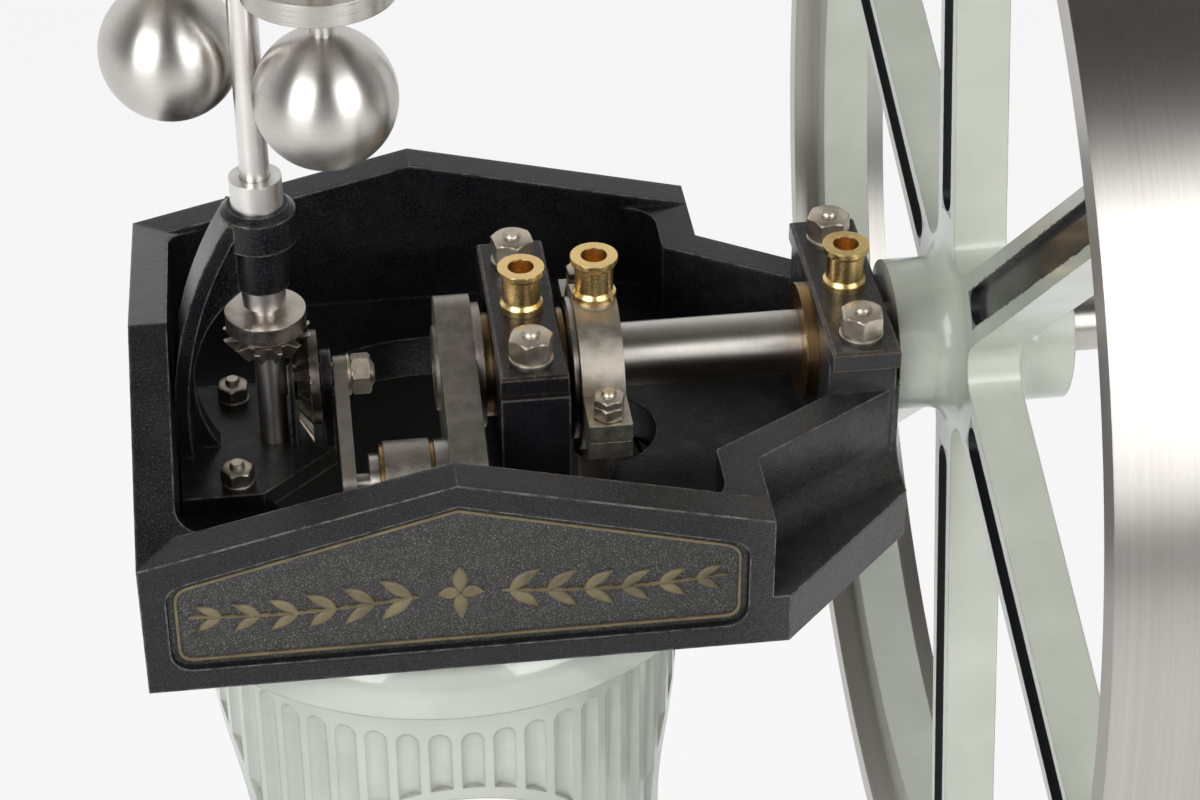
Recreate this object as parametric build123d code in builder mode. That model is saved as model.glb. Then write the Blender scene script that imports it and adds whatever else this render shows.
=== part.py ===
"""Model vertical column steam engine: crank box on a fluted column, overhung flywheel, fly-ball governor.

Millimetres, +Z up.  X runs along the crankshaft towards the flywheel, -Y is the front.
The origin is on the floor, in the middle of the base plate, under the column.
"""

import os
from math import atan2, cos, degrees, hypot, pi, radians, sin, sqrt, tan

from build123d import *

os.makedirs("parts", exist_ok=True)

# Clearances
RUN = 0.05            # radial room of a pin or shaft that turns in its hole
SEAT = 0.02           # radial room of a round seat inside one body
SIDE = 0.3            # room beside a piece that turns

# Crankshaft line
SHAFT_DIAMETER = 9.525
SHAFT_OVERHANG = 12.5
SHAFT_END_DIAMETER = 9.0   # the end beyond the flywheel is turned down for a pulley
THROW = 19.05
CRANK_ANGLE = 21.0    # how far the crank points below level, towards the front

# Crank box
BOX_LENGTH = 86.4
BOX_DEPTH = 88.4
BOX_DROP = 20.0       # from the shaft axis down to the underside
BOX_RIM = 1.0         # corner height above the shaft axis
BOX_PEAK = 11.2       # gable height above the shaft axis
BOX_WALL = 5.5
BOX_FLOOR = 7.0
BOX_CORNER = 5.0      # rounding of the inside corners
WELL_RADIUS = 27.3    # hole in the floor that the crank swings in
NOSE_REACH = 66.4     # how far the outer bearing's end stands from the column axis
NOSE_WIDTH = 45.0     # width of the bottom flange at that end
WING_WIDTH = 28.8     # width over the two wings at that end
SHOULDER_WIDTH = 58.8  # width over the two wings where they leave the box
SHOULDER_STEP = 2.4   # the bottom flange is this much longer than the box at the front
PANEL_MARGIN = 3.5    # plain border round the sunk front panel
PANEL_DEPTH = 1.2
PANEL_CORNER = 3.0
FLANGE_HEIGHT = 8.0   # bottom flange outside the wings
SCOOP_RADIUS = 4.0    # hollow curve between a wing and that flange

# Bearings
CAP_WIDTH = 9.8
CAP_LENGTH = 36.0
CAP_THICKNESS = 3.0
CAP_TOP = 9.5         # above the shaft axis
CENTRE_BEARING_X = 13.2
OUTER_BEARING_X = 60.6
BUSH_WALL = 1.7
BUSH_FLANGE = 7.6
THRUST_FLANGE = 8.7
FLANGE_THICKNESS = 1.1
THRUST_THICKNESS = 1.8
BRIDGE_LENGTH = 62.0  # the cast bridge under the centre bearing, front to back
BRIDGE_HEIGHT = 9.0
CENTRE_PEDESTAL = 38.0
OUTER_PEDESTAL = 31.0

# Oil cups
CUP_HEIGHT = 7.0
CUP_RIM = 3.4
CUP_WAIST = 2.75
CUP_FOOT = 3.15
CUP_BORE = 1.9
CUP_DEPTH = 4.2

# Crank, crankpin and connecting rod
WEB_THICKNESS = 5.2
WEB_WIDTH = 16.0
WEB_HEEL = 9.6        # web behind the shaft axis
WEB_TOE = 7.0         # web beyond the crankpin axis
WEB_CORNER = 5.0
WEB_COLLAR = 1.2
WEB_COLLAR_RADIUS = 9.2
WEB_BOSS = 0.5        # low boss on the other face
WEB_BOSS_RADIUS = 6.2
PIN_DIAMETER = 7.0
PIN_COLLAR = 8.6
PIN_COLLAR_LENGTH = 1.4
PIN_SHOULDER = 2.0    # collar between the web and the rod
PIN_SHOULDER_DIAMETER = 11.4
DRIVE_PIN_DIAMETER = 3.2
ROD_LENGTH = 120.0
STRAP_WIDTH = 6.5     # rod and strap thickness along the shaft
STRAP_HALF = 5.9
BRASS_WALL = 1.5
BRASS_FLANGE = 0.6
BRASS_RIM = 5.5
BUTT_LENGTH = 4.5
BUTT_HALF = 5.0
SHANK_TOP = 2.4
SHANK_MIDDLE = 2.9
EYE_RADIUS = 5.0
WRIST_DIAMETER = 5.0

# Eccentric
ECCENTRIC_X = 23.4
ECCENTRIC_ANGLE = 10.0   # how far the sheave's throw points above level, towards the front
ECCENTRIC_THROW = 3.2
SHEAVE_RADIUS = 8.8
SHEAVE_FLANGE = 10.4
SHEAVE_FLANGE_THICKNESS = 0.7
BAND_WIDTH = 6.2
BAND_THICKNESS = 3.2
LUG_REACH = 19.2
LUG_THICKNESS = 2.8
ECCENTRIC_ROD_LENGTH = 92.0
ECCENTRIC_ROD_RADIUS = 2.2
VALVE_EYE = 3.6
VALVE_PIN_DIAMETER = 2.6
VALVE_ROD_RADIUS = 1.8
SLOT_RADIUS = 9.6     # hole in the box floor that the strap dips into

# Governor drive
SPINDLE_X = -23.6
SPINDLE_DIAMETER = 4.2
PINION_TEETH = 12
GEAR_TEETH = 18
PINION_PITCH = 5.7    # pitch radius at the large end
TOOTH_RATIO = 0.66    # small end of the teeth over the large end
PINION_DISC = 5.8
PINION_DISC_HEIGHT = 2.5
LEVER_SHAFT_DIAMETER = 4.0
LEVER_THICKNESS = 2.0
LEVER_GAP = 1.9       # between the lever and the crankpin's end collar
LEVER_WIDTH = 5.6
CHEEK_THICKNESS = 0.9
EAR_THICKNESS = 1.5
NUT_ROOM = 3.6        # lever shaft beyond the lever, for its nut
BRACKET_BASE = 3.0
BRACKET_FRONT = 14.0
BOSS_RADIUS = 5.3
BOSS_EDGE = 1.0
NECK_RADIUS = 3.8
NECK_TOP = 24.5
BOSS_TOP = 30.2
SPINDLE_BUSH_WALL = 1.0
SPINDLE_BUSH_DROP = 3.2   # how far the bush shows below the boss
BOSS_BOTTOM = 17.0
COLLAR_RADIUS = 3.7
COLLAR_TOP = 34.6
ARM_WEB = 3.2
ARM_FLANGE = 8.0
ARM_FLANGE_THICKNESS = 2.0

# Fly balls
BALL_RADIUS = 9.9
BALL_CIRCLE = 13.0
BALL_HEIGHT = 50.8    # ball centres above the shaft axis
BALL_TURN = -38.0     # direction of the near ball round the spindle, from +X
DISH_RADIUS = 10.5
DISH_HEIGHT = 3.2
DISH_WALL = 1.6
BALL_STEM = 1.6
BALL_GAP = 6.2        # stem that shows between a ball and its dish
PIVOT_HEIGHT = 92.0   # arm pivots above the shaft axis
ARM_THICKNESS = 3.0
ARM_EYE = 3.0
PIVOT_DIAMETER = 2.4
HEAD_WIDTH = 7.0
HEAD_HEIGHT = 8.0
CHEEK_WALL = 2.0
HEAD_CAP = 4.0

# Flywheel
WHEEL_DIAMETER = 212.4
WHEEL_CENTRE_X = 80.1
RIM_WIDTH = 16.0
RIM_THICKNESS = 4.4
RIB_HEIGHT = 6.4
HUB_LENGTH = 26.0
HUB_RADIUS = 11.2
SPOKE_COUNT = 6
SPOKE_TURN = 17.5     # first spoke, from +Y towards +Z
SPOKE_DEPTH = 7.8
SPOKE_ROOT = 10.4
SPOKE_TIP = 8.6
SPOKE_FILLET = 4.0
SPOKE_PANEL = 5.2      # width of the sunk panel on each broad face
SPOKE_PANEL_DEPTH = 1.2
HUB_FLARE = 3.6       # how far the hub swells into the spokes

# Column
COLUMN_RADIUS = 36.0
COLUMN_BORE = 31.0
COLUMN_HEIGHT = 155.0
CAPITAL_RADIUS = 44.0
CAPITAL_HEIGHT = 9.5   # rounded cushion under the box
CAPITAL_NECK = 3.0    # hollow under the cushion
CAPITAL_CROWN = 40.0  # radius where the cushion meets the box
FOOT_RADIUS = 39.0
FOOT_HEIGHT = 10.0
ARCH_WIDTH = 36.0
ARCH_TOP = 32.0       # below the top of the column
ARCH_SILL = 20.0      # above the foot of the column
ARCH_BORDER = 2.2     # plain band round each arch, where the flutes stop
FLUTE_COUNT = 48
FLUTE_TURN = 2.3      # first flute from straight ahead, towards the flywheel
FLUTE_RADIUS = 2.0
FLUTE_DEPTH = 0.9
FLUTE_TOP = 19.0      # below the top of the column
FLUTE_FOOT = 15.0     # above the foot of the column

# Cylinder, valve chest and base
CYLINDER_HEIGHT = 70.0
CYLINDER_FLANGE = 8.0
CYLINDER_RADIUS = 21.0
COVER_RADIUS = 24.0
COVER_THICKNESS = 3.0
GLAND_RADIUS = 8.0
GLAND_HEIGHT = 4.0
PISTON_ROD_DIAMETER = 6.0
PORT_FACE_X = 19.0
CHEST_DEPTH = 15.0
CHEST_WIDTH = 34.0
CHEST_COVER = 3.0
BASE_LENGTH = 150.0
BASE_WIDTH = 132.0
BASE_THICKNESS = 20.0
BASE_STEP = 9.0
BASE_LEDGE = 12.0
BOLT_RADIUS = 3.0
BOLT_INSET = 9.0

# Heights and places worked out from the sizes above
SHAFT_HEIGHT = BASE_THICKNESS + CYLINDER_HEIGHT + COLUMN_HEIGHT + BOX_DROP
SHAFT_RADIUS = SHAFT_DIAMETER / 2
BOX_BOTTOM = SHAFT_HEIGHT - BOX_DROP
FLOOR_TOP = BOX_BOTTOM + BOX_FLOOR
COLUMN_FOOT = BOX_BOTTOM - COLUMN_HEIGHT
CYLINDER_FOOT = COLUMN_FOOT - CYLINDER_HEIGHT
HALF_LENGTH = BOX_LENGTH / 2
HALF_DEPTH = BOX_DEPTH / 2
CENTRE_FACE = CENTRE_BEARING_X - CAP_WIDTH / 2
WEB_RIGHT = CENTRE_FACE - FLANGE_THICKNESS - WEB_COLLAR - RUN * 2
WEB_LEFT = WEB_RIGHT - WEB_THICKNESS
PIN_Y = -THROW * cos(radians(CRANK_ANGLE))
PIN_Z = SHAFT_HEIGHT - THROW * sin(radians(CRANK_ANGLE))
BRASS_LENGTH = STRAP_WIDTH + 2 * BRASS_FLANGE
ROD_X = WEB_LEFT - PIN_SHOULDER - RUN * 2 - BRASS_LENGTH / 2
WRIST_Z = PIN_Z - sqrt(ROD_LENGTH ** 2 - PIN_Y ** 2)
WHEEL_RADIUS = WHEEL_DIAMETER / 2
WHEEL_LEFT = WHEEL_CENTRE_X - HUB_LENGTH / 2
SHAFT_RIGHT = WHEEL_CENTRE_X + HUB_LENGTH / 2 + SHAFT_OVERHANG


def across(x, y=0.0, z=SHAFT_HEIGHT):
    """Plane that faces along the shaft: local x is +Y, local y is +Z."""
    return Plane(origin=(x, y, z), x_dir=(0, 1, 0), z_dir=(1, 0, 0))


def facing(y, x=0.0, z=SHAFT_HEIGHT):
    """Plane that faces the front: local x is +X, local y is +Z, extrusions run to -Y."""
    return Plane(origin=(x, y, z), x_dir=(1, 0, 0), z_dir=(0, -1, 0))


def level(z, x=0.0, y=0.0):
    """Level plane: local x is +X, local y is +Y."""
    return Plane(origin=(x, y, z), x_dir=(1, 0, 0), z_dir=(0, 0, 1))


def save(part, name):
    """Label one finished piece and write its file."""
    part.label = name
    export_step(part, f"parts/{name}.step")


def corner_points(half_x, half_y):
    """Corners of a rectangle about the local origin."""
    return [(sx * half_x, sy * half_y) for sx in (-1, 1) for sy in (-1, 1)]


# Base plate: a stepped bed with four holding-down holes
with BuildPart() as base_plate:
    with BuildSketch(level(0)):
        RectangleRounded(BASE_LENGTH, BASE_WIDTH, BASE_STEP)
    extrude(amount=BASE_STEP)
    with BuildSketch(level(BASE_STEP)):
        RectangleRounded(BASE_LENGTH - 2 * BASE_LEDGE, BASE_WIDTH - 2 * BASE_LEDGE, BASE_STEP)
    extrude(amount=BASE_THICKNESS - BASE_STEP, taper=BASE_STEP)
    with Locations(level(BASE_STEP)):
        with GridLocations(BASE_LENGTH - 2 * BOLT_INSET, BASE_WIDTH - 2 * BOLT_INSET, 2, 2):
            Hole(BOLT_RADIUS, BASE_STEP)
save(base_plate.part, "base_plate")

# Cylinder: barrel between two round flanges, with a flat face for the valve chest
with BuildPart() as cylinder:
    with BuildSketch(level(CYLINDER_FOOT)):
        Circle(FOOT_RADIUS)
    extrude(amount=CYLINDER_FLANGE)
    with BuildSketch(level(COLUMN_FOOT)):
        Circle(FOOT_RADIUS)
    extrude(amount=-CYLINDER_FLANGE)
    with BuildSketch(level(CYLINDER_FOOT, ROD_X)):
        Circle(CYLINDER_RADIUS)
    extrude(amount=CYLINDER_HEIGHT)
    with BuildSketch(level(CYLINDER_FOOT + CYLINDER_FLANGE)):
        with Locations((PORT_FACE_X / 2, 0)):
            Rectangle(PORT_FACE_X, CHEST_WIDTH)
    extrude(amount=CYLINDER_HEIGHT - 2 * CYLINDER_FLANGE)
    with BuildSketch(level(COLUMN_FOOT, ECCENTRIC_X)):
        Circle(VALVE_ROD_RADIUS + RUN)
    extrude(amount=-CYLINDER_FLANGE, mode=Mode.SUBTRACT)
save(cylinder.part, "cylinder")

# Cylinder cover with its gland, inside the foot of the column
with BuildPart() as cylinder_cover:
    with BuildSketch(level(COLUMN_FOOT, ROD_X)):
        Circle(COVER_RADIUS)
    extrude(amount=COVER_THICKNESS)
    with BuildSketch(level(COLUMN_FOOT + COVER_THICKNESS, ROD_X)):
        Circle(GLAND_RADIUS)
    extrude(amount=GLAND_HEIGHT)
    with BuildSketch(level(COLUMN_FOOT, ROD_X)):
        Circle(PISTON_ROD_DIAMETER / 2 + RUN)
    extrude(amount=COVER_THICKNESS + GLAND_HEIGHT, mode=Mode.SUBTRACT)
    with BuildSketch(level(COLUMN_FOOT, ECCENTRIC_X)):
        Rectangle(2 * VALVE_EYE + SIDE, 2 * VALVE_EYE)
    extrude(amount=COVER_THICKNESS, mode=Mode.SUBTRACT)
save(cylinder_cover.part, "cylinder_cover")

# Valve chest and its cover, on the flywheel side of the cylinder
CHEST_HEIGHT = CYLINDER_HEIGHT - 2 * CYLINDER_FLANGE
CHEST_FOOT = CYLINDER_FOOT + CYLINDER_FLANGE
with BuildPart() as valve_chest:
    with BuildSketch(level(CHEST_FOOT)):
        with Locations((PORT_FACE_X + CHEST_DEPTH / 2, 0)):
            Rectangle(CHEST_DEPTH, CHEST_WIDTH)
    extrude(amount=CHEST_HEIGHT)
save(valve_chest.part, "valve_chest")

with BuildPart() as chest_cover:
    with BuildSketch(across(PORT_FACE_X + CHEST_DEPTH, 0, CHEST_FOOT + CHEST_HEIGHT / 2)):
        RectangleRounded(CHEST_WIDTH, CHEST_HEIGHT, CHEST_COVER)
    extrude(amount=CHEST_COVER)
save(chest_cover.part, "chest_cover")

# Column: a turned tube with a cushion capital and a moulded foot, fluted, with an arch on each side
CUSHION_Z = BOX_BOTTOM - CAPITAL_HEIGHT
CAPITAL_BEAD = CAPITAL_HEIGHT / 8
NECK_Z = CUSHION_Z - CAPITAL_NECK
ARCH_HEIGHT = COLUMN_HEIGHT - ARCH_TOP - ARCH_SILL
ARCH_FOOT = COLUMN_FOOT + ARCH_SILL
ARCH_PLANES = (facing(0, 0, ARCH_FOOT), across(0, 0, ARCH_FOOT))
FLUTE_CIRCLE = COLUMN_RADIUS + FLUTE_RADIUS - FLUTE_DEPTH
FLUTE_LOW = COLUMN_FOOT + FLUTE_FOOT + FLUTE_RADIUS
FLUTE_HIGH = BOX_BOTTOM - FLUTE_TOP - FLUTE_RADIUS
# The shape the flutes take out, kept away from each arch, its border and the sill under it
with BuildPart() as flute_shape:
    with Locations(level(FLUTE_LOW)):
        with PolarLocations(FLUTE_CIRCLE, FLUTE_COUNT, start_angle=-90 + FLUTE_TURN):
            Cylinder(FLUTE_RADIUS, FLUTE_HIGH - FLUTE_LOW, align=(Align.CENTER, Align.CENTER, Align.MIN))
    for flute_end in (FLUTE_LOW, FLUTE_HIGH):
        with Locations(level(flute_end)):
            with PolarLocations(FLUTE_CIRCLE, FLUTE_COUNT, start_angle=-90 + FLUTE_TURN):
                Sphere(FLUTE_RADIUS)
    for arch_plane in ARCH_PLANES:
        with BuildSketch(arch_plane):
            with Locations((0, ARCH_HEIGHT - ARCH_WIDTH / 2)):
                Circle(ARCH_WIDTH / 2 + ARCH_BORDER)
            with Locations((0, (ARCH_HEIGHT - ARCH_WIDTH / 2 - ARCH_SILL) / 2)):
                Rectangle(ARCH_WIDTH + 2 * ARCH_BORDER, ARCH_HEIGHT - ARCH_WIDTH / 2 + ARCH_SILL)
        extrude(amount=CAPITAL_RADIUS, both=True, mode=Mode.SUBTRACT)

with BuildPart() as column:
    with BuildSketch(Plane.XZ):
        with BuildLine():
            Polyline(
                (COLUMN_BORE, COLUMN_FOOT),
                (FOOT_RADIUS, COLUMN_FOOT),
                (FOOT_RADIUS, COLUMN_FOOT + FOOT_HEIGHT / 2),
            )
            SagittaArc(
                (FOOT_RADIUS, COLUMN_FOOT + FOOT_HEIGHT / 2),
                (COLUMN_RADIUS, COLUMN_FOOT + FOOT_HEIGHT),
                -1.0,
            )
            Line((COLUMN_RADIUS, COLUMN_FOOT + FOOT_HEIGHT), (COLUMN_RADIUS, NECK_Z))
            RadiusArc((COLUMN_RADIUS, NECK_Z), (CAPITAL_RADIUS, CUSHION_Z), CAPITAL_RADIUS - COLUMN_RADIUS)
            Line((CAPITAL_RADIUS, CUSHION_Z), (CAPITAL_RADIUS, CUSHION_Z + CAPITAL_BEAD))
            RadiusArc((CAPITAL_RADIUS, CUSHION_Z + CAPITAL_BEAD), (CAPITAL_CROWN, BOX_BOTTOM), -CAPITAL_HEIGHT * 1.2)
            Polyline((CAPITAL_CROWN, BOX_BOTTOM), (COLUMN_BORE, BOX_BOTTOM), (COLUMN_BORE, COLUMN_FOOT))
        make_face()
    revolve(axis=Axis.Z)
    add(flute_shape.part, mode=Mode.SUBTRACT)
    for arch_plane in ARCH_PLANES:
        with BuildSketch(arch_plane):
            with Locations((0, ARCH_HEIGHT - ARCH_WIDTH / 2)):
                Circle(ARCH_WIDTH / 2)
            with Locations((0, (ARCH_HEIGHT - ARCH_WIDTH / 2) / 2)):
                Rectangle(ARCH_WIDTH, ARCH_HEIGHT - ARCH_WIDTH / 2)
        extrude(amount=CAPITAL_RADIUS, both=True, mode=Mode.SUBTRACT)
save(column.part, "column")

# Crank box: gabled walls on a flat floor, with wings to the outer bearing
FLANGE_CORNER = HALF_LENGTH + SHOULDER_STEP


with BuildPart() as crank_box:
    with BuildSketch(level(BOX_BOTTOM)):
        Polygon(
            (-HALF_LENGTH, -HALF_DEPTH),
            (FLANGE_CORNER, -HALF_DEPTH),
            (NOSE_REACH, -NOSE_WIDTH / 2),
            (NOSE_REACH, NOSE_WIDTH / 2),
            (FLANGE_CORNER, HALF_DEPTH),
            (-HALF_LENGTH, HALF_DEPTH),
            align=None,
        )
    extrude(amount=BOX_FLOOR)
    with BuildSketch(level(BOX_BOTTOM)):
        Circle(WELL_RADIUS)
        with Locations((ECCENTRIC_X, 0)):
            Circle(SLOT_RADIUS)
    extrude(amount=BOX_FLOOR, mode=Mode.SUBTRACT)
    # Front, back and left walls, each rising to a peak in the middle
    for half_span, wall_plane in (
        (HALF_LENGTH, facing(HALF_DEPTH)),
        (HALF_LENGTH, facing(-HALF_DEPTH + BOX_WALL)),
        (HALF_DEPTH, across(-HALF_LENGTH)),
    ):
        with BuildSketch(wall_plane):
            Polygon(
                (-half_span, -BOX_DROP),
                (half_span, -BOX_DROP),
                (half_span, BOX_RIM),
                (0, BOX_PEAK),
                (-half_span, BOX_RIM),
                align=None,
            )
        extrude(amount=BOX_WALL)
    for side in (-1, 1):
        with BuildSketch(level(BOX_BOTTOM)):
            Polygon(
                (HALF_LENGTH - BOX_WALL, side * HALF_DEPTH),
                (HALF_LENGTH, side * HALF_DEPTH),
                (HALF_LENGTH, side * SHOULDER_WIDTH / 2),
                (NOSE_REACH, side * WING_WIDTH / 2),
                (NOSE_REACH, side * (WING_WIDTH / 2 - BOX_WALL)),
                (HALF_LENGTH - BOX_WALL, side * (SHOULDER_WIDTH / 2 - BOX_WALL / 2)),
                align=None,
            )
        extrude(amount=BOX_DROP + BOX_RIM)
    # Flange outside each wing, and the hollow curve between the two
    WING_RUN = (NOSE_REACH - HALF_LENGTH, (SHOULDER_WIDTH - WING_WIDTH) / 2)
    WING_SPAN = hypot(*WING_RUN)
    FLANGE_TOP = BOX_BOTTOM + FLANGE_HEIGHT
    for side in (-1, 1):
        with BuildSketch(level(BOX_BOTTOM)):
            Polygon(
                (HALF_LENGTH, side * HALF_DEPTH),
                (FLANGE_CORNER, side * HALF_DEPTH),
                (NOSE_REACH, side * NOSE_WIDTH / 2),
                (NOSE_REACH, side * WING_WIDTH / 2),
                (HALF_LENGTH, side * SHOULDER_WIDTH / 2),
                align=None,
            )
        extrude(amount=FLANGE_HEIGHT)
        run = (WING_RUN[0] / WING_SPAN, -side * WING_RUN[1] / WING_SPAN, 0)
        outward = (-side * run[1], side * run[0], 0)
        scoop_plane = Plane(origin=(HALF_LENGTH, side * SHOULDER_WIDTH / 2, FLANGE_TOP), x_dir=outward,
                            z_dir=(side * run[0], side * run[1], 0))
        with BuildSketch(scoop_plane):
            with BuildLine():
                Line((-BOX_WALL / 2, 0), (SCOOP_RADIUS, 0))
                RadiusArc((SCOOP_RADIUS, 0), (0, SCOOP_RADIUS), SCOOP_RADIUS)
                Line((0, SCOOP_RADIUS), (-BOX_WALL / 2, SCOOP_RADIUS))
                Line((-BOX_WALL / 2, SCOOP_RADIUS), (-BOX_WALL / 2, 0))
            make_face()
        extrude(amount=side * 1.2 * WING_SPAN)
    with BuildSketch(across(NOSE_REACH)):
        Rectangle(2 * BOX_DEPTH, 4 * BOX_DROP)
    extrude(amount=BOX_LENGTH, mode=Mode.SUBTRACT)
    # Rounded inside corners
    inside = [e for e in crank_box.edges().filter_by(Axis.Z)
              if abs(abs(e.center().X) - HALF_LENGTH + BOX_WALL) < SEAT
              and abs(abs(e.center().Y) - HALF_DEPTH + BOX_WALL) < SEAT]
    fillet(inside, BOX_CORNER)
    # Bridge and pedestals that carry the two bearings
    with BuildSketch(level(BOX_BOTTOM)):
        with Locations((CENTRE_BEARING_X, 0)):
            Rectangle(CAP_WIDTH, BRIDGE_LENGTH)
    extrude(amount=BRIDGE_HEIGHT)
    for bearing_x, length in ((CENTRE_BEARING_X, CENTRE_PEDESTAL), (OUTER_BEARING_X, OUTER_PEDESTAL)):
        with BuildSketch(level(BOX_BOTTOM)):
            with Locations((bearing_x, 0)):
                Rectangle(CAP_WIDTH, length)
        extrude(amount=BOX_DROP + CAP_TOP - CAP_THICKNESS)
        with BuildSketch(across(bearing_x - CAP_WIDTH / 2)):
            Circle(SHAFT_RADIUS + BUSH_WALL + SEAT)
            with Locations((0, CAP_TOP / 2)):
                Rectangle(2 * (SHAFT_RADIUS + BUSH_WALL + SEAT), CAP_TOP)
        extrude(amount=CAP_WIDTH, mode=Mode.SUBTRACT)
    # Room for the shaft, its collars and the thrust flange through the outer end
    with BuildSketch(across(OUTER_BEARING_X + CAP_WIDTH / 2)):
        Circle(SHAFT_RADIUS + BUSH_WALL + SEAT)
    extrude(amount=NOSE_REACH - OUTER_BEARING_X - CAP_WIDTH / 2, mode=Mode.SUBTRACT)
    # Sunk panel on the front
    with BuildSketch(facing(-HALF_DEPTH + PANEL_DEPTH)):
        Polygon(
            (-HALF_LENGTH + PANEL_MARGIN, -BOX_DROP + PANEL_MARGIN),
            (HALF_LENGTH - PANEL_MARGIN, -BOX_DROP + PANEL_MARGIN),
            (HALF_LENGTH - PANEL_MARGIN, BOX_RIM - PANEL_MARGIN),
            (0, BOX_PEAK - PANEL_MARGIN),
            (-HALF_LENGTH + PANEL_MARGIN, BOX_RIM - PANEL_MARGIN),
            align=None,
        )
        fillet(vertices().sort_by(Axis.Y)[:-1], PANEL_CORNER)
    extrude(amount=PANEL_DEPTH, mode=Mode.SUBTRACT)
save(crank_box.part, "crank_box")


def bearing_cap(x):
    """Flat keep over one bearing bush, drilled for its oil cup."""
    with BuildPart() as cap:
        with BuildSketch(level(SHAFT_HEIGHT + CAP_TOP - CAP_THICKNESS, x)):
            Rectangle(CAP_WIDTH, CAP_LENGTH)
        extrude(amount=CAP_THICKNESS)
        chamfer(cap.faces().sort_by(Axis.Z)[-1].edges(), CAP_THICKNESS / 8)
    return cap.part


save(bearing_cap(CENTRE_BEARING_X), "centre_bearing_cap")
save(bearing_cap(OUTER_BEARING_X), "outer_bearing_cap")


def bearing_bush(x, left_flange, left_thickness, right_flange, right_thickness):
    """Turned bronze bush with a flange at each end, held in its pedestal."""
    with BuildPart() as bush:
        with BuildSketch(across(x - CAP_WIDTH / 2)):
            Circle(SHAFT_RADIUS + BUSH_WALL)
        extrude(amount=CAP_WIDTH)
        with BuildSketch(across(x - CAP_WIDTH / 2)):
            Circle(left_flange)
        extrude(amount=-left_thickness)
        if right_thickness:
            with BuildSketch(across(x + CAP_WIDTH / 2)):
                Circle(right_flange)
            extrude(amount=right_thickness)
        with BuildSketch(across(x - CAP_WIDTH / 2 - left_thickness)):
            Circle(SHAFT_RADIUS + RUN)
        extrude(amount=CAP_WIDTH + left_thickness + right_thickness, mode=Mode.SUBTRACT)
    return bush.part


save(bearing_bush(CENTRE_BEARING_X, BUSH_FLANGE, FLANGE_THICKNESS, BUSH_FLANGE, FLANGE_THICKNESS),
     "centre_bearing_bush")
save(bearing_bush(OUTER_BEARING_X, THRUST_FLANGE, THRUST_THICKNESS, 0, 0), "outer_bearing_bush")


def oil_cup(x, y, z):
    """Waisted cup turned from brass, hollow from the top, standing at the given point."""
    with BuildPart() as cup:
        with BuildSketch(Plane(origin=(x, y, z), x_dir=(1, 0, 0), z_dir=(0, -1, 0))):
            with BuildLine():
                Polyline(
                    (CUP_BORE, CUP_HEIGHT),
                    (CUP_RIM, CUP_HEIGHT),
                    (CUP_RIM, CUP_HEIGHT * 0.88),
                    (CUP_WAIST, CUP_HEIGHT * 0.78),
                    (CUP_WAIST, CUP_HEIGHT * 0.24),
                    (CUP_FOOT, CUP_HEIGHT * 0.16),
                    (CUP_FOOT, 0),
                    (0, 0),
                    (0, CUP_HEIGHT - CUP_DEPTH),
                    (CUP_BORE, CUP_HEIGHT - CUP_DEPTH),
                    close=True,
                )
            make_face()
        revolve(axis=Axis((x, y, z), (0, 0, 1)))
    return cup.part


CAP_FACE = SHAFT_HEIGHT + CAP_TOP
save(oil_cup(CENTRE_BEARING_X, 0, CAP_FACE), "centre_oil_cup")
save(oil_cup(OUTER_BEARING_X, 0, CAP_FACE), "outer_oil_cup")

# Crankshaft: a bar from the crank through the flywheel, with its free end turned down a little
SHAFT_LEFT = WEB_LEFT - WEB_BOSS
HUB_RIGHT = WHEEL_CENTRE_X + HUB_LENGTH / 2
with BuildPart() as crankshaft:
    with BuildSketch(across(SHAFT_LEFT)):
        Circle(SHAFT_RADIUS)
    extrude(amount=HUB_RIGHT - SHAFT_LEFT)
    with BuildSketch(across(HUB_RIGHT)):
        Circle(SHAFT_END_DIAMETER / 2)
    extrude(amount=SHAFT_OVERHANG)
    chamfer(crankshaft.faces().sort_by(Axis.X)[-1].edges(), SHAFT_RADIUS / 8)
save(crankshaft.part, "crankshaft")

# Crank web: a flat bar with rounded corners, and a collar against the bearing
WEB_LENGTH = WEB_HEEL + THROW + WEB_TOE
WEB_MIDDLE = (THROW + WEB_TOE - WEB_HEEL) / 2
CRANK_DIRECTION = (-cos(radians(CRANK_ANGLE)), -sin(radians(CRANK_ANGLE)))
PIN_SPOT = (THROW * CRANK_DIRECTION[0], THROW * CRANK_DIRECTION[1])
with BuildPart() as crank_web:
    with BuildSketch(across(WEB_LEFT)):
        with Locations((WEB_MIDDLE * CRANK_DIRECTION[0], WEB_MIDDLE * CRANK_DIRECTION[1])):
            RectangleRounded(WEB_LENGTH, WEB_WIDTH, WEB_CORNER, rotation=CRANK_ANGLE)
        with Locations(PIN_SPOT):
            Circle(PIN_DIAMETER / 2 + SEAT, mode=Mode.SUBTRACT)
    extrude(amount=WEB_THICKNESS)
    with BuildSketch(across(WEB_RIGHT)):
        Circle(WEB_COLLAR_RADIUS)
    extrude(amount=WEB_COLLAR)
    with BuildSketch(across(WEB_LEFT)):
        Circle(WEB_BOSS_RADIUS)
    extrude(amount=-WEB_BOSS)
    with BuildSketch(across(WEB_LEFT - WEB_BOSS)):
        Circle(SHAFT_RADIUS + SEAT)
    extrude(amount=WEB_BOSS + WEB_THICKNESS + WEB_COLLAR, mode=Mode.SUBTRACT)
save(crank_web.part, "crank_web")

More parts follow.
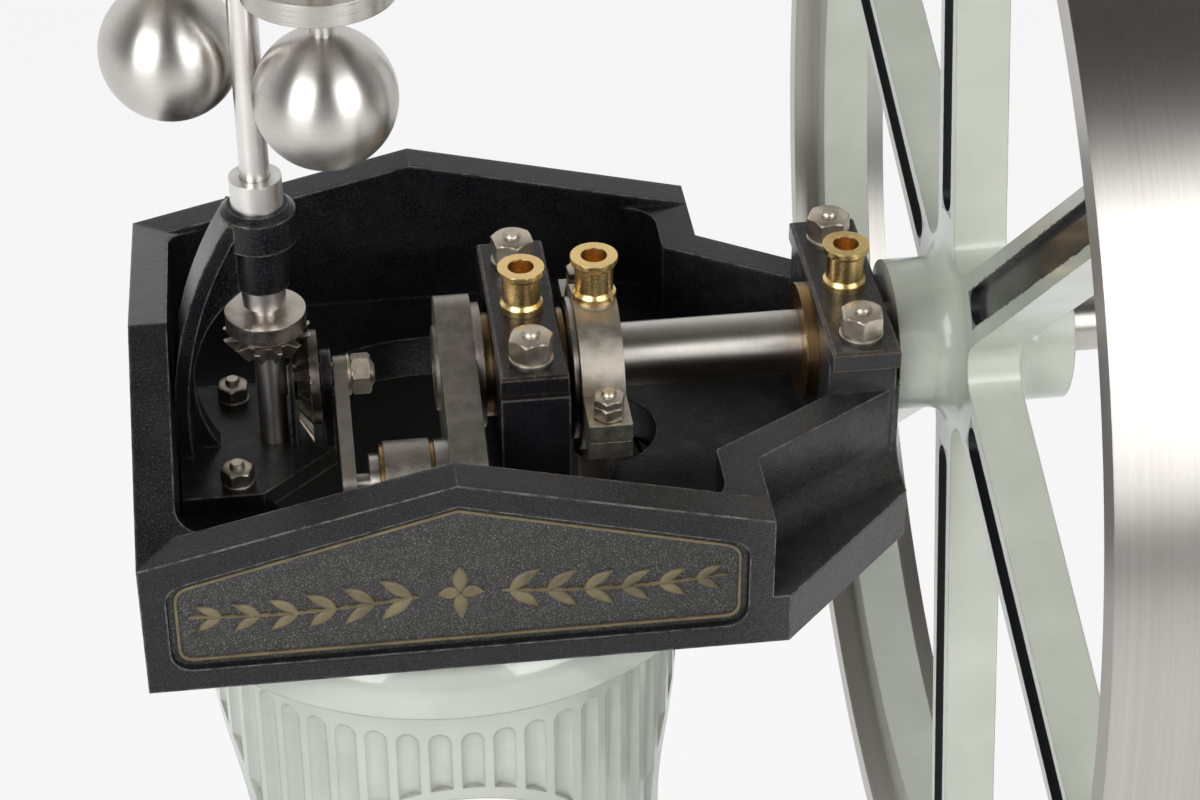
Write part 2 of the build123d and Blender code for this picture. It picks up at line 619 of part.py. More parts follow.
# Crankpin with a collar on each side of the rod and a small pin that drives the lever
PIN_LEFT = ROD_X - BRASS_LENGTH / 2 - RUN * 2 - PIN_COLLAR_LENGTH
LEVER_RIGHT = PIN_LEFT - LEVER_GAP
LEVER_LEFT = LEVER_RIGHT - LEVER_THICKNESS
with BuildPart() as crankpin:
    with BuildSketch(across(LEVER_LEFT)):
        with Locations(PIN_SPOT):
            Circle(DRIVE_PIN_DIAMETER / 2)
    extrude(amount=PIN_LEFT - LEVER_LEFT)
    with BuildSketch(across(PIN_LEFT)):
        with Locations(PIN_SPOT):
            Circle(PIN_COLLAR / 2)
    extrude(amount=PIN_COLLAR_LENGTH)
    with BuildSketch(across(PIN_LEFT)):
        with Locations(PIN_SPOT):
            Circle(PIN_DIAMETER / 2)
    extrude(amount=WEB_RIGHT - PIN_LEFT)
    with BuildSketch(across(WEB_LEFT)):
        with Locations(PIN_SPOT):
            Circle(PIN_SHOULDER_DIAMETER / 2)
    extrude(amount=-PIN_SHOULDER)
save(crankpin.part, "crankpin")

# Connecting rod: strapped big end with flanged brasses, round shank, plain eye
ROD_SPAN = hypot(PIN_Y, PIN_Z - WRIST_Z)
ROD_UP = (0, PIN_Y / ROD_SPAN, (PIN_Z - WRIST_Z) / ROD_SPAN)
ROD_SIDE = (0, ROD_UP[2], -ROD_UP[1])


def along_rod(x):
    """Plane that faces along the shaft at the crankpin: local -y runs down the rod."""
    return Plane(origin=(x, PIN_Y, PIN_Z), x_dir=ROD_SIDE, z_dir=(1, 0, 0))


STRAP_LEFT = ROD_X - STRAP_WIDTH / 2
BRASS_RADIUS = PIN_DIAMETER / 2 + RUN + BRASS_WALL
with BuildPart() as big_end_brasses:
    with BuildSketch(along_rod(ROD_X - BRASS_LENGTH / 2)):
        Circle(BRASS_RIM)
    extrude(amount=BRASS_FLANGE)
    with BuildSketch(along_rod(STRAP_LEFT)):
        Circle(BRASS_RADIUS)
    extrude(amount=STRAP_WIDTH)
    with BuildSketch(along_rod(STRAP_LEFT + STRAP_WIDTH)):
        Circle(BRASS_RIM)
    extrude(amount=BRASS_FLANGE)
    with BuildSketch(along_rod(ROD_X - BRASS_LENGTH / 2)):
        Circle(PIN_DIAMETER / 2 + RUN)
    extrude(amount=BRASS_LENGTH, mode=Mode.SUBTRACT)
save(big_end_brasses.part, "big_end_brasses")

with BuildPart() as big_end_strap:
    with BuildSketch(along_rod(STRAP_LEFT)):
        Circle(STRAP_HALF)
        with Locations((0, -STRAP_HALF / 2)):
            Rectangle(2 * STRAP_HALF, STRAP_HALF)
        Circle(BRASS_RADIUS + SEAT, mode=Mode.SUBTRACT)
    extrude(amount=STRAP_WIDTH)
save(big_end_strap.part, "big_end_strap")

with BuildPart() as connecting_rod:
    with BuildSketch(along_rod(STRAP_LEFT)):
        with Locations((0, -STRAP_HALF - BUTT_LENGTH / 2)):
            Rectangle(2 * BUTT_HALF, BUTT_LENGTH)
        with Locations((0, -ROD_LENGTH)):
            Circle(EYE_RADIUS)
    extrude(amount=STRAP_WIDTH)
    SHANK_START = STRAP_HALF + BUTT_LENGTH
    SHANK_LENGTH = ROD_LENGTH - SHANK_START - EYE_RADIUS / 2
    with BuildSketch(along_rod(ROD_X)):
        with BuildLine():
            Polyline(
                (0, -SHANK_START),
                (SHANK_TOP, -SHANK_START),
                (SHANK_MIDDLE, -SHANK_START - SHANK_LENGTH / 2),
                (SHANK_TOP, -SHANK_START - SHANK_LENGTH),
                (0, -SHANK_START - SHANK_LENGTH),
                close=True,
            )
        make_face()
    revolve(axis=Axis((ROD_X, PIN_Y, PIN_Z), ROD_UP))
    with BuildSketch(along_rod(STRAP_LEFT)):
        with Locations((0, -ROD_LENGTH)):
            Circle(WRIST_DIAMETER / 2 + SEAT)
    extrude(amount=STRAP_WIDTH, mode=Mode.SUBTRACT)
save(connecting_rod.part, "connecting_rod")

FORK_GAP = STRAP_WIDTH / 2 + SIDE + RUN
with BuildPart() as wrist_pin:
    with BuildSketch(across(ROD_X - STRAP_WIDTH / 2 - RUN, 0, WRIST_Z)):
        Circle(WRIST_DIAMETER / 2)
    extrude(amount=STRAP_WIDTH + 2 * RUN)
save(wrist_pin.part, "wrist_pin")

# Crosshead: a round shoe in the column, with two cheeks beside the rod's eye
SWEEP_LOW = SHAFT_HEIGHT - THROW - (PIN_Z - WRIST_Z) - EYE_RADIUS
SHOE_TOP = SWEEP_LOW - 5 * SIDE
SHOE_HEIGHT = 7.0
CHEEK_DEPTH = 3.5
CHEEK_HALF = 6.0
with BuildPart() as crosshead:
    with BuildSketch(level(SHOE_TOP - SHOE_HEIGHT)):
        Circle(COLUMN_BORE - SIDE)
        with Locations((ECCENTRIC_X + VALVE_EYE, 0)):
            Rectangle(4 * VALVE_EYE, 4 * VALVE_EYE, mode=Mode.SUBTRACT)
    extrude(amount=SHOE_HEIGHT)
    for side in (-1, 1):
        with BuildSketch(level(SHOE_TOP)):
            with Locations((ROD_X + side * (FORK_GAP + CHEEK_DEPTH / 2), 0)):
                Rectangle(CHEEK_DEPTH, 2 * CHEEK_HALF)
        extrude(amount=WRIST_Z - SHOE_TOP)
        with BuildSketch(across(ROD_X + side * (FORK_GAP + CHEEK_DEPTH / 2), 0, WRIST_Z)):
            Circle(CHEEK_HALF)
        extrude(amount=CHEEK_DEPTH / 2, both=True)
save(crosshead.part, "crosshead")

with BuildPart() as piston_rod:
    with BuildSketch(level(COLUMN_FOOT, ROD_X)):
        Circle(PISTON_ROD_DIAMETER / 2)
    extrude(amount=SHOE_TOP - SHOE_HEIGHT - COLUMN_FOOT)
save(piston_rod.part, "piston_rod")

# Eccentric: sheave on the shaft, split strap, rod down to the valve rod
SHEAVE_Y = -ECCENTRIC_THROW * cos(radians(ECCENTRIC_ANGLE))
SHEAVE_Z = SHAFT_HEIGHT + ECCENTRIC_THROW * sin(radians(ECCENTRIC_ANGLE))
BAND_LEFT = ECCENTRIC_X - BAND_WIDTH / 2
BAND_RADIUS = SHEAVE_RADIUS + RUN + BAND_THICKNESS
with BuildPart() as eccentric_sheave:
    with BuildSketch(across(BAND_LEFT - RUN * 2, SHEAVE_Y, SHEAVE_Z)):
        Circle(SHEAVE_FLANGE)
    extrude(amount=-SHEAVE_FLANGE_THICKNESS)
    with BuildSketch(across(BAND_LEFT - RUN * 2, SHEAVE_Y, SHEAVE_Z)):
        Circle(SHEAVE_RADIUS)
    extrude(amount=BAND_WIDTH + RUN * 2)
    with BuildSketch(across(BAND_LEFT - RUN * 2 - SHEAVE_FLANGE_THICKNESS)):
        Circle(SHAFT_RADIUS + SEAT)
    extrude(amount=BAND_WIDTH + RUN * 2 + SHEAVE_FLANGE_THICKNESS, mode=Mode.SUBTRACT)
save(eccentric_sheave.part, "eccentric_sheave")


def strap_half(sign):
    """Upper (+1) or lower (-1) half of the eccentric strap, with a lug at the front and back."""
    with BuildPart() as half:
        with BuildSketch(across(BAND_LEFT, SHEAVE_Y, SHEAVE_Z)):
            Circle(BAND_RADIUS)
            with Locations((0, sign * LUG_THICKNESS / 2)):
                Rectangle(2 * LUG_REACH, LUG_THICKNESS)
            Circle(SHEAVE_RADIUS + RUN, mode=Mode.SUBTRACT)
            with Locations((0, -sign * BAND_RADIUS)):
                Rectangle(3 * LUG_REACH, 2 * BAND_RADIUS, mode=Mode.SUBTRACT)
        extrude(amount=BAND_WIDTH)
        with BuildSketch(level(SHEAVE_Z + sign * BAND_RADIUS, ECCENTRIC_X, SHEAVE_Y)):
            Circle(BAND_WIDTH / 2)
        extrude(amount=-sign * BAND_THICKNESS / 2)
    return half.part


save(strap_half(1), "eccentric_strap_upper")
save(strap_half(-1), "eccentric_strap_lower")
save(oil_cup(ECCENTRIC_X, SHEAVE_Y, SHEAVE_Z + BAND_RADIUS), "eccentric_oil_cup")

# The eccentric rod leans from the sheave's centre to the valve rod's axis
VALVE_JOINT_Z = SHEAVE_Z - sqrt(ECCENTRIC_ROD_LENGTH ** 2 - SHEAVE_Y ** 2)
LEAN = degrees(atan2(SHEAVE_Y, SHEAVE_Z - VALVE_JOINT_Z))
with BuildPart() as eccentric_rod:
    with BuildSketch(level(SHEAVE_Z - BAND_RADIUS, ECCENTRIC_X, SHEAVE_Y)):
        Circle(BAND_WIDTH / 2)
    extrude(amount=-LUG_THICKNESS)
    with BuildSketch(across(ECCENTRIC_X, SHEAVE_Y, SHEAVE_Z)):
        Polygon(
            (-ECCENTRIC_ROD_RADIUS, -BAND_RADIUS - LUG_THICKNESS / 2),
            (ECCENTRIC_ROD_RADIUS, -BAND_RADIUS - LUG_THICKNESS / 2),
            (-SHEAVE_Y + ECCENTRIC_ROD_RADIUS, VALVE_JOINT_Z - SHEAVE_Z),
            (-SHEAVE_Y - ECCENTRIC_ROD_RADIUS, VALVE_JOINT_Z - SHEAVE_Z),
            align=None,
        )
        with Locations((-SHEAVE_Y, VALVE_JOINT_Z - SHEAVE_Z)):
            Circle(VALVE_EYE)
            Circle(VALVE_PIN_DIAMETER / 2 + SEAT, mode=Mode.SUBTRACT)
    extrude(amount=ECCENTRIC_ROD_RADIUS, both=True)
save(eccentric_rod.part, "eccentric_rod")

with BuildPart() as valve_pin:
    with BuildSketch(across(ECCENTRIC_X, 0, VALVE_JOINT_Z)):
        Circle(VALVE_PIN_DIAMETER / 2)
    extrude(amount=ECCENTRIC_ROD_RADIUS + RUN, both=True)
save(valve_pin.part, "valve_pin")

# Valve rod: a fork beside the eccentric rod's eye, and a round rod into the valve chest
VALVE_FORK_GAP = ECCENTRIC_ROD_RADIUS + RUN + SIDE
VALVE_FORK_WALL = 1.6
VALVE_FORK_FLOOR = VALVE_JOINT_Z - ECCENTRIC_THROW - VALVE_EYE - ECCENTRIC_THROW
with BuildPart() as valve_rod:
    for side in (-1, 1):
        with BuildSketch(across(ECCENTRIC_X + side * (VALVE_FORK_GAP + VALVE_FORK_WALL / 2), 0, VALVE_JOINT_Z)):
            Circle(VALVE_EYE)
            with Locations((0, (VALVE_FORK_FLOOR - VALVE_JOINT_Z) / 2)):
                Rectangle(2 * VALVE_EYE, VALVE_JOINT_Z - VALVE_FORK_FLOOR)
        extrude(amount=VALVE_FORK_WALL / 2, both=True)
    with BuildSketch(level(VALVE_FORK_FLOOR, ECCENTRIC_X)):
        Rectangle(2 * (VALVE_FORK_GAP + VALVE_FORK_WALL), 2 * VALVE_EYE)
    extrude(amount=-2 * VALVE_FORK_WALL)
    with BuildSketch(level(VALVE_FORK_FLOOR - VALVE_FORK_WALL, ECCENTRIC_X)):
        Circle(VALVE_ROD_RADIUS)
    extrude(amount=CHEST_FOOT + CHEST_HEIGHT - VALVE_FORK_FLOOR + VALVE_FORK_WALL)
save(valve_rod.part, "valve_rod")

# Governor drive: lever, its short shaft and a pair of bevel gears
GEAR_PITCH = PINION_PITCH * GEAR_TEETH / PINION_TEETH
MODULE = 2 * PINION_PITCH / PINION_TEETH
ADDENDUM = 0.62 * MODULE
DEDENDUM = 0.85 * MODULE
PINION_CONE = atan2(PINION_PITCH, GEAR_PITCH)


def toothed_outline(pitch, teeth, height_factor, scale, first_angle):
    """Straight-flanked gear outline in the active sketch, scaled towards the pitch-cone apex."""
    root = (pitch - DEDENDUM * height_factor) * scale
    tip = (pitch + ADDENDUM * height_factor) * scale
    step = 2 * pi / teeth
    points = []
    for index in range(teeth):
        middle = radians(first_angle) + index * step
        for radius, half in ((root, -0.28), (tip, -0.1), (tip, 0.1), (root, 0.28)):
            angle = middle + half * step
            points.append((radius * cos(angle), radius * sin(angle)))
    Polygon(*points, align=None)


CHEEK_LEFT = SPINDLE_X + SPINDLE_DIAMETER / 2 + SIDE
GEAR_LARGE = SPINDLE_X + PINION_PITCH
EAR_RIGHT = LEVER_LEFT - SIDE
EAR_LEFT = EAR_RIGHT - EAR_THICKNESS
GEAR_RIGHT = EAR_LEFT - SIDE
LEVER_SHAFT_RADIUS = LEVER_SHAFT_DIAMETER / 2
with BuildPart() as drive_bevel_gear:
    with BuildSketch(across(GEAR_LARGE)):
        toothed_outline(GEAR_PITCH, GEAR_TEETH, 1 / sin(PINION_CONE), 1.0, 90)
    with BuildSketch(across(SPINDLE_X + PINION_PITCH * TOOTH_RATIO)):
        toothed_outline(GEAR_PITCH, GEAR_TEETH, 1 / sin(PINION_CONE), TOOTH_RATIO, 90)
    loft(ruled=True)
    with BuildSketch(across(GEAR_LARGE)):
        Circle(GEAR_PITCH - 2 * DEDENDUM)
    extrude(amount=GEAR_RIGHT - GEAR_LARGE)
    with BuildSketch(across(SPINDLE_X)):
        Circle(LEVER_SHAFT_RADIUS + SEAT)
    extrude(amount=GEAR_RIGHT - SPINDLE_X, mode=Mode.SUBTRACT)
save(drive_bevel_gear.part, "drive_bevel_gear")

with BuildPart() as lever_shaft:
    with BuildSketch(across(CHEEK_LEFT)):
        Circle(LEVER_SHAFT_RADIUS)
    extrude(amount=LEVER_RIGHT + NUT_ROOM - CHEEK_LEFT)
save(lever_shaft.part, "lever_shaft")

with BuildPart() as drag_lever:
    with BuildSketch(across(LEVER_LEFT)):
        with Locations((PIN_SPOT[0] / 2, PIN_SPOT[1] / 2)):
            SlotCenterToCenter(THROW, LEVER_WIDTH, rotation=CRANK_ANGLE)
        Circle(LEVER_SHAFT_RADIUS + SEAT, mode=Mode.SUBTRACT)
        with Locations(PIN_SPOT):
            Circle(DRIVE_PIN_DIAMETER / 2 + SEAT, mode=Mode.SUBTRACT)
    extrude(amount=LEVER_THICKNESS)
save(drag_lever.part, "drag_lever")

# Governor bracket: foot on the box floor, two bearings for the lever shaft, a curved arm and a boss
FOOT_TOP = FLOOR_TOP + BRACKET_BASE
WALL_INSIDE = -HALF_LENGTH + BOX_WALL
BRACKET_LEFT = WALL_INSIDE + SIDE
ARM_FOOT_X = BRACKET_LEFT + ARM_FLANGE_THICKNESS
with BuildPart() as governor_bracket:
    with BuildSketch(level(FLOOR_TOP)):
        Polygon(
            (BRACKET_LEFT, -BRACKET_FRONT),
            (SPINDLE_X - SPINDLE_DIAMETER / 2, -BRACKET_FRONT),
            (EAR_RIGHT, -LEVER_SHAFT_DIAMETER),
            (EAR_RIGHT, LEVER_SHAFT_DIAMETER),
            (SPINDLE_X - SPINDLE_DIAMETER / 2, BRACKET_FRONT),
            (BRACKET_LEFT, BRACKET_FRONT),
            align=None,
        )
    extrude(amount=BRACKET_BASE)
    for left, thickness in ((CHEEK_LEFT, CHEEK_THICKNESS), (EAR_LEFT, EAR_THICKNESS)):
        with BuildSketch(across(left)):
            Circle(LEVER_SHAFT_DIAMETER)
            with Locations((0, (FOOT_TOP - SHAFT_HEIGHT) / 2)):
                Rectangle(2 * LEVER_SHAFT_DIAMETER, SHAFT_HEIGHT - FOOT_TOP)
            Circle(LEVER_SHAFT_RADIUS + RUN, mode=Mode.SUBTRACT)
        extrude(amount=thickness)
    with BuildSketch(level(SHAFT_HEIGHT + BOSS_BOTTOM, SPINDLE_X)):
        Circle(NECK_RADIUS)
    extrude(amount=NECK_TOP - BOSS_BOTTOM)
    with BuildSketch(level(SHAFT_HEIGHT + NECK_TOP, SPINDLE_X)):
        Circle(BOSS_RADIUS)
    extrude(amount=BOSS_TOP - NECK_TOP)
    chamfer(governor_bracket.edges().group_by(Axis.Z)[-1], BOSS_EDGE)
    ARM_OUTER = ((ARM_FOOT_X - ARM_FLANGE_THICKNESS, FOOT_TOP), (BRACKET_LEFT + 2.2, SHAFT_HEIGHT + 13),
                 (SPINDLE_X - BOSS_RADIUS + BOSS_EDGE, SHAFT_HEIGHT + BOSS_TOP - BOSS_EDGE))
    ARM_INNER = ((ARM_FOOT_X + 4, FOOT_TOP), (BRACKET_LEFT + 5.2, SHAFT_HEIGHT + 10),
                 (SPINDLE_X - BOSS_RADIUS / 2, SHAFT_HEIGHT + BOSS_BOTTOM))
    ARM_LINING = [(x + ARM_FLANGE_THICKNESS, z - ARM_FLANGE_THICKNESS / 3) for x, z in ARM_OUTER]
    with BuildSketch(facing(0, 0, 0)):
        with BuildLine():
            ThreePointArc(*ARM_OUTER)
            Line(ARM_OUTER[2], (SPINDLE_X, ARM_OUTER[2][1]))
            Line((SPINDLE_X, ARM_OUTER[2][1]), (SPINDLE_X, SHAFT_HEIGHT + BOSS_BOTTOM))
            Line((SPINDLE_X, SHAFT_HEIGHT + BOSS_BOTTOM), ARM_INNER[2])
            ThreePointArc(*ARM_INNER)
            Line(ARM_INNER[0], ARM_OUTER[0])
        make_face()
    extrude(amount=ARM_WEB / 2, both=True)
    # Flange along the outside of the curved arm
    with BuildSketch(facing(0, 0, 0)):
        with BuildLine():
            ThreePointArc(*ARM_OUTER)
            Line(ARM_OUTER[2], ARM_LINING[2])
            ThreePointArc(*ARM_LINING)
            Line(ARM_LINING[0], ARM_OUTER[0])
        make_face()
    extrude(amount=ARM_FLANGE / 2, both=True)
    with BuildSketch(level(SHAFT_HEIGHT, SPINDLE_X)):
        Circle(SPINDLE_DIAMETER / 2 + RUN + SPINDLE_BUSH_WALL + SEAT)
    extrude(amount=COLLAR_TOP, mode=Mode.SUBTRACT)
    with BuildSketch(level(FOOT_TOP, SPINDLE_X)):
        Circle(SPINDLE_DIAMETER / 2 + RUN)
    extrude(amount=-BRACKET_BASE / 2, mode=Mode.SUBTRACT)
save(governor_bracket.part, "governor_bracket")

with BuildPart() as spindle_bush:
    with BuildSketch(level(SHAFT_HEIGHT + BOSS_BOTTOM - SPINDLE_BUSH_DROP, SPINDLE_X)):
        Circle(SPINDLE_DIAMETER / 2 + RUN + SPINDLE_BUSH_WALL)
    extrude(amount=COLLAR_TOP - BOSS_BOTTOM + SPINDLE_BUSH_DROP)
    with BuildSketch(level(SHAFT_HEIGHT + BOSS_TOP, SPINDLE_X)):
        Circle(COLLAR_RADIUS)
    extrude(amount=COLLAR_TOP - BOSS_TOP)
    with BuildSketch(level(SHAFT_HEIGHT, SPINDLE_X)):
        Circle(SPINDLE_DIAMETER / 2 + RUN)
    extrude(amount=COLLAR_TOP, mode=Mode.SUBTRACT)
save(spindle_bush.part, "spindle_bush")

# Governor spindle with its pinion
SPINDLE_RADIUS = SPINDLE_DIAMETER / 2
SPINDLE_FOOT = FOOT_TOP - BRACKET_BASE / 2 + RUN
HEAD_BOTTOM = SHAFT_HEIGHT + PIVOT_HEIGHT - HEAD_HEIGHT / 2
with BuildPart() as governor_spindle:
    with BuildSketch(level(SPINDLE_FOOT, SPINDLE_X)):
        Circle(SPINDLE_RADIUS)
    extrude(amount=HEAD_BOTTOM + HEAD_HEIGHT - SPINDLE_FOOT)
save(governor_spindle.part, "governor_spindle")

PINION_LARGE = SHAFT_HEIGHT + GEAR_PITCH
DISC_LOW = PINION_LARGE + ADDENDUM / sin(PINION_CONE) + SIDE   # clear of the gear's tips
with BuildPart() as governor_pinion:
    with BuildSketch(level(PINION_LARGE, SPINDLE_X)):
        toothed_outline(PINION_PITCH, PINION_TEETH, 1 / cos(PINION_CONE), 1.0, 180 / PINION_TEETH)
    with BuildSketch(level(SHAFT_HEIGHT + GEAR_PITCH * TOOTH_RATIO, SPINDLE_X)):
        toothed_outline(PINION_PITCH, PINION_TEETH, 1 / cos(PINION_CONE), TOOTH_RATIO, 180 / PINION_TEETH)
    loft(ruled=True)
    with BuildSketch(level(PINION_LARGE, SPINDLE_X)):
        Circle(PINION_PITCH - 2 * DEDENDUM)
    with BuildSketch(level(DISC_LOW, SPINDLE_X)):
        Circle(PINION_DISC - SIDE)
    loft()
    with BuildSketch(level(DISC_LOW, SPINDLE_X)):
        Circle(PINION_DISC)
    extrude(amount=PINION_DISC_HEIGHT)
    with BuildSketch(level(SHAFT_HEIGHT, SPINDLE_X)):
        Circle(SPINDLE_RADIUS + SEAT)
    extrude(amount=DISC_LOW + PINION_DISC_HEIGHT - SHAFT_HEIGHT, mode=Mode.SUBTRACT)
save(governor_pinion.part, "governor_pinion")

# Governor head: a crossbar with a forked end over each ball
BALL_DIRECTION = (cos(radians(BALL_TURN)), sin(radians(BALL_TURN)))
FORK_SLOT = ARM_THICKNESS + 2 * SIDE
PIVOT_Z = SHAFT_HEIGHT + PIVOT_HEIGHT


def swing_plane(offset=0.0):
    """Upright plane through the spindle and both balls: local x points to the near ball."""
    normal = (BALL_DIRECTION[1], -BALL_DIRECTION[0], 0)
    origin = (SPINDLE_X + offset * normal[0], offset * normal[1], PIVOT_Z)
    return Plane(origin=origin, x_dir=(BALL_DIRECTION[0], BALL_DIRECTION[1], 0), z_dir=normal)


HEAD_HALF = BALL_CIRCLE + ARM_EYE
with BuildPart() as governor_head:
    with BuildSketch(swing_plane()):
        SlotCenterToCenter(2 * BALL_CIRCLE, 2 * ARM_EYE + 1)
    extrude(amount=FORK_SLOT / 2 + CHEEK_WALL, both=True)
    with BuildSketch(level(HEAD_BOTTOM, SPINDLE_X)):
        Circle(HEAD_WIDTH)
    extrude(amount=HEAD_HEIGHT)
    for side in (-1, 1):
        with BuildSketch(swing_plane()):
            with Locations((side * (HEAD_WIDTH + ARM_EYE * 4), 0)):
                Rectangle(8 * ARM_EYE, 8 * ARM_EYE)
        extrude(amount=FORK_SLOT / 2, both=True, mode=Mode.SUBTRACT)
    with BuildSketch(swing_plane()):
        with Locations((-BALL_CIRCLE, 0), (BALL_CIRCLE, 0)):
            Circle(PIVOT_DIAMETER / 2 + RUN)
    extrude(amount=FORK_SLOT / 2 + CHEEK_WALL, both=True, mode=Mode.SUBTRACT)
    with BuildSketch(level(HEAD_BOTTOM, SPINDLE_X)):
        Circle(SPINDLE_RADIUS + SEAT)
    extrude(amount=HEAD_HEIGHT, mode=Mode.SUBTRACT)
save(governor_head.part, "governor_head")

with BuildPart() as governor_cap:
    with BuildSketch(Plane(origin=(SPINDLE_X, 0, HEAD_BOTTOM + HEAD_HEIGHT), x_dir=(1, 0, 0), z_dir=(0, -1, 0))):
        with BuildLine():
            Line((0, 0), (HEAD_CAP, 0))
            Line((HEAD_CAP, 0), (HEAD_CAP, 1))
            RadiusArc((HEAD_CAP, 1), (0, 1 + HEAD_CAP), -HEAD_CAP)
            Line((0, 1 + HEAD_CAP), (0, 0))
        make_face()
    revolve(axis=Axis((SPINDLE_X, 0, HEAD_BOTTOM), (0, 0, 1)))
save(governor_cap.part, "governor_cap")

# Fly balls: an arm with its pivot pin, a shallow dish and a ball on each side
BALL_Z = SHAFT_HEIGHT + BALL_HEIGHT
DISH_BOTTOM = BALL_Z + BALL_RADIUS + BALL_GAP
for prefix, side in (("near", 1), ("far", -1)):
    centre_x = SPINDLE_X + side * BALL_CIRCLE * BALL_DIRECTION[0]
    centre_y = side * BALL_CIRCLE * BALL_DIRECTION[1]
    with BuildPart() as ball:
        with Locations((centre_x, centre_y, BALL_Z)):
            Sphere(BALL_RADIUS)
        with BuildSketch(level(BALL_Z, centre_x, centre_y)):
            Circle(BALL_STEM)
        extrude(amount=BALL_RADIUS + BALL_GAP)
    save(ball.part, f"{prefix}_ball")

    with BuildPart() as dish:
        with BuildSketch(level(DISH_BOTTOM, centre_x, centre_y)):
            Circle(DISH_RADIUS)
        extrude(amount=DISH_HEIGHT)
        with BuildSketch(level(DISH_BOTTOM + DISH_WALL, centre_x, centre_y)):
            Circle(DISH_RADIUS - DISH_WALL)
        extrude(amount=DISH_HEIGHT - DISH_WALL, mode=Mode.SUBTRACT)
    save(dish.part, f"{prefix}_dish")

    with BuildPart() as arm:
        with BuildSketch(level(DISH_BOTTOM + DISH_WALL, centre_x, centre_y)):
            Circle(ARM_THICKNESS / 2)
        extrude(amount=PIVOT_Z - DISH_BOTTOM - DISH_WALL)
        with BuildSketch(swing_plane()):
            with Locations((side * BALL_CIRCLE, 0)):
                Circle(ARM_EYE)
        extrude(amount=ARM_THICKNESS / 2, both=True)
        with BuildSketch(swing_plane()):
            with Locations((side * BALL_CIRCLE, 0)):
                Circle(PIVOT_DIAMETER / 2)
        extrude(amount=FORK_SLOT / 2 + CHEEK_WALL, both=True)
    save(arm.part, f"{prefix}_arm")

# Flywheel: turned rim with an inner rib, six straight panelled spokes and a long swelling hub
RIM_LEFT = WHEEL_CENTRE_X - RIM_WIDTH / 2
RIM_INSIDE = WHEEL_RADIUS - RIM_THICKNESS
RIB_INSIDE = RIM_INSIDE - RIB_HEIGHT
SWELL_RADIUS = HUB_RADIUS + HUB_FLARE
SPOKE_ANGLES = [SPOKE_TURN + index * 360 / SPOKE_COUNT for index in range(SPOKE_COUNT)]
with BuildPart() as flywheel:
    with BuildSketch(across(WHEEL_CENTRE_X)):
        Circle(RIM_INSIDE + RIM_THICKNESS / 2)
        Circle(RIB_INSIDE, mode=Mode.SUBTRACT)
        Circle(SWELL_RADIUS)
        for angle in SPOKE_ANGLES:
            turn = radians(angle)
            along = (cos(turn), sin(turn))
            aside = (-sin(turn), cos(turn))
            corners = [(0, SPOKE_ROOT / 2), (0, -SPOKE_ROOT / 2),
                       (RIM_INSIDE, -SPOKE_TIP / 2), (RIM_INSIDE, SPOKE_TIP / 2)]
            Polygon(*[(r * along[0] + w * aside[0], r * along[1] + w * aside[1]) for r, w in corners], align=None)
        crotches = [v for v in vertices() if hypot(v.X, v.Y) < RIB_INSIDE + RIB_HEIGHT / 2]
        fillet(crotches, SPOKE_FILLET)
    extrude(amount=SPOKE_DEPTH / 2, both=True)
    with BuildSketch(across(RIM_LEFT)):
        Circle(WHEEL_RADIUS)
        Circle(RIM_INSIDE, mode=Mode.SUBTRACT)
    extrude(amount=RIM_WIDTH)
    # Hub: a straight barrel that swells into the spokes on both sides
    with BuildSketch(facing(0, WHEEL_CENTRE_X)):
        with BuildLine():
            Line((-HUB_LENGTH / 2, 0), (-HUB_LENGTH / 2, HUB_RADIUS))
            Line((-HUB_LENGTH / 2, HUB_RADIUS), (-SPOKE_DEPTH / 2 - HUB_FLARE, HUB_RADIUS))
            RadiusArc((-SPOKE_DEPTH / 2 - HUB_FLARE, HUB_RADIUS), (-SPOKE_DEPTH / 2, SWELL_RADIUS), -HUB_FLARE)
            Line((-SPOKE_DEPTH / 2, SWELL_RADIUS), (SPOKE_DEPTH / 2, SWELL_RADIUS))
            RadiusArc((SPOKE_DEPTH / 2, SWELL_RADIUS), (SPOKE_DEPTH / 2 + HUB_FLARE, HUB_RADIUS), -HUB_FLARE)
            Line((SPOKE_DEPTH / 2 + HUB_FLARE, HUB_RADIUS), (HUB_LENGTH / 2, HUB_RADIUS))
            Line((HUB_LENGTH / 2, HUB_RADIUS), (HUB_LENGTH / 2, 0))
            Line((HUB_LENGTH / 2, 0), (-HUB_LENGTH / 2, 0))
        make_face()
    revolve(axis=Axis((0, 0, SHAFT_HEIGHT), (1, 0, 0)))
    # Sunk panels on both faces of each spoke
    PANEL_START = SWELL_RADIUS + SPOKE_FILLET
    PANEL_LENGTH = RIB_INSIDE - SPOKE_FILLET - PANEL_START
    for sign in (-1, 1):
        with BuildSketch(across(WHEEL_CENTRE_X + sign * SPOKE_DEPTH / 2)):
            for angle in SPOKE_ANGLES:
                turn = radians(angle)
                middle = PANEL_START + PANEL_LENGTH / 2
                with Locations((middle * cos(turn), middle * sin(turn))):
                    SlotOverall(PANEL_LENGTH, SPOKE_PANEL, rotation=angle)
        extrude(amount=-sign * SPOKE_PANEL_DEPTH, mode=Mode.SUBTRACT)
    with BuildSketch(across(WHEEL_LEFT)):
        Circle(SHAFT_RADIUS + SEAT)
    extrude(amount=HUB_LENGTH, mode=Mode.SUBTRACT)
save(flywheel.part, "flywheel")
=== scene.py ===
# %% [markdown]
# # Model column steam engine
# The CAD model gives every solid of this engine its shape and place. This script dresses it: paint,
# castings, turned metal, the nuts and studs that hold it together, and the lined panel on the front of the
# crank box. Everything is in metres, in the same frame as the CAD, so a piece goes where the frame says.

import math

import bpy
from mathutils import Matrix, Vector


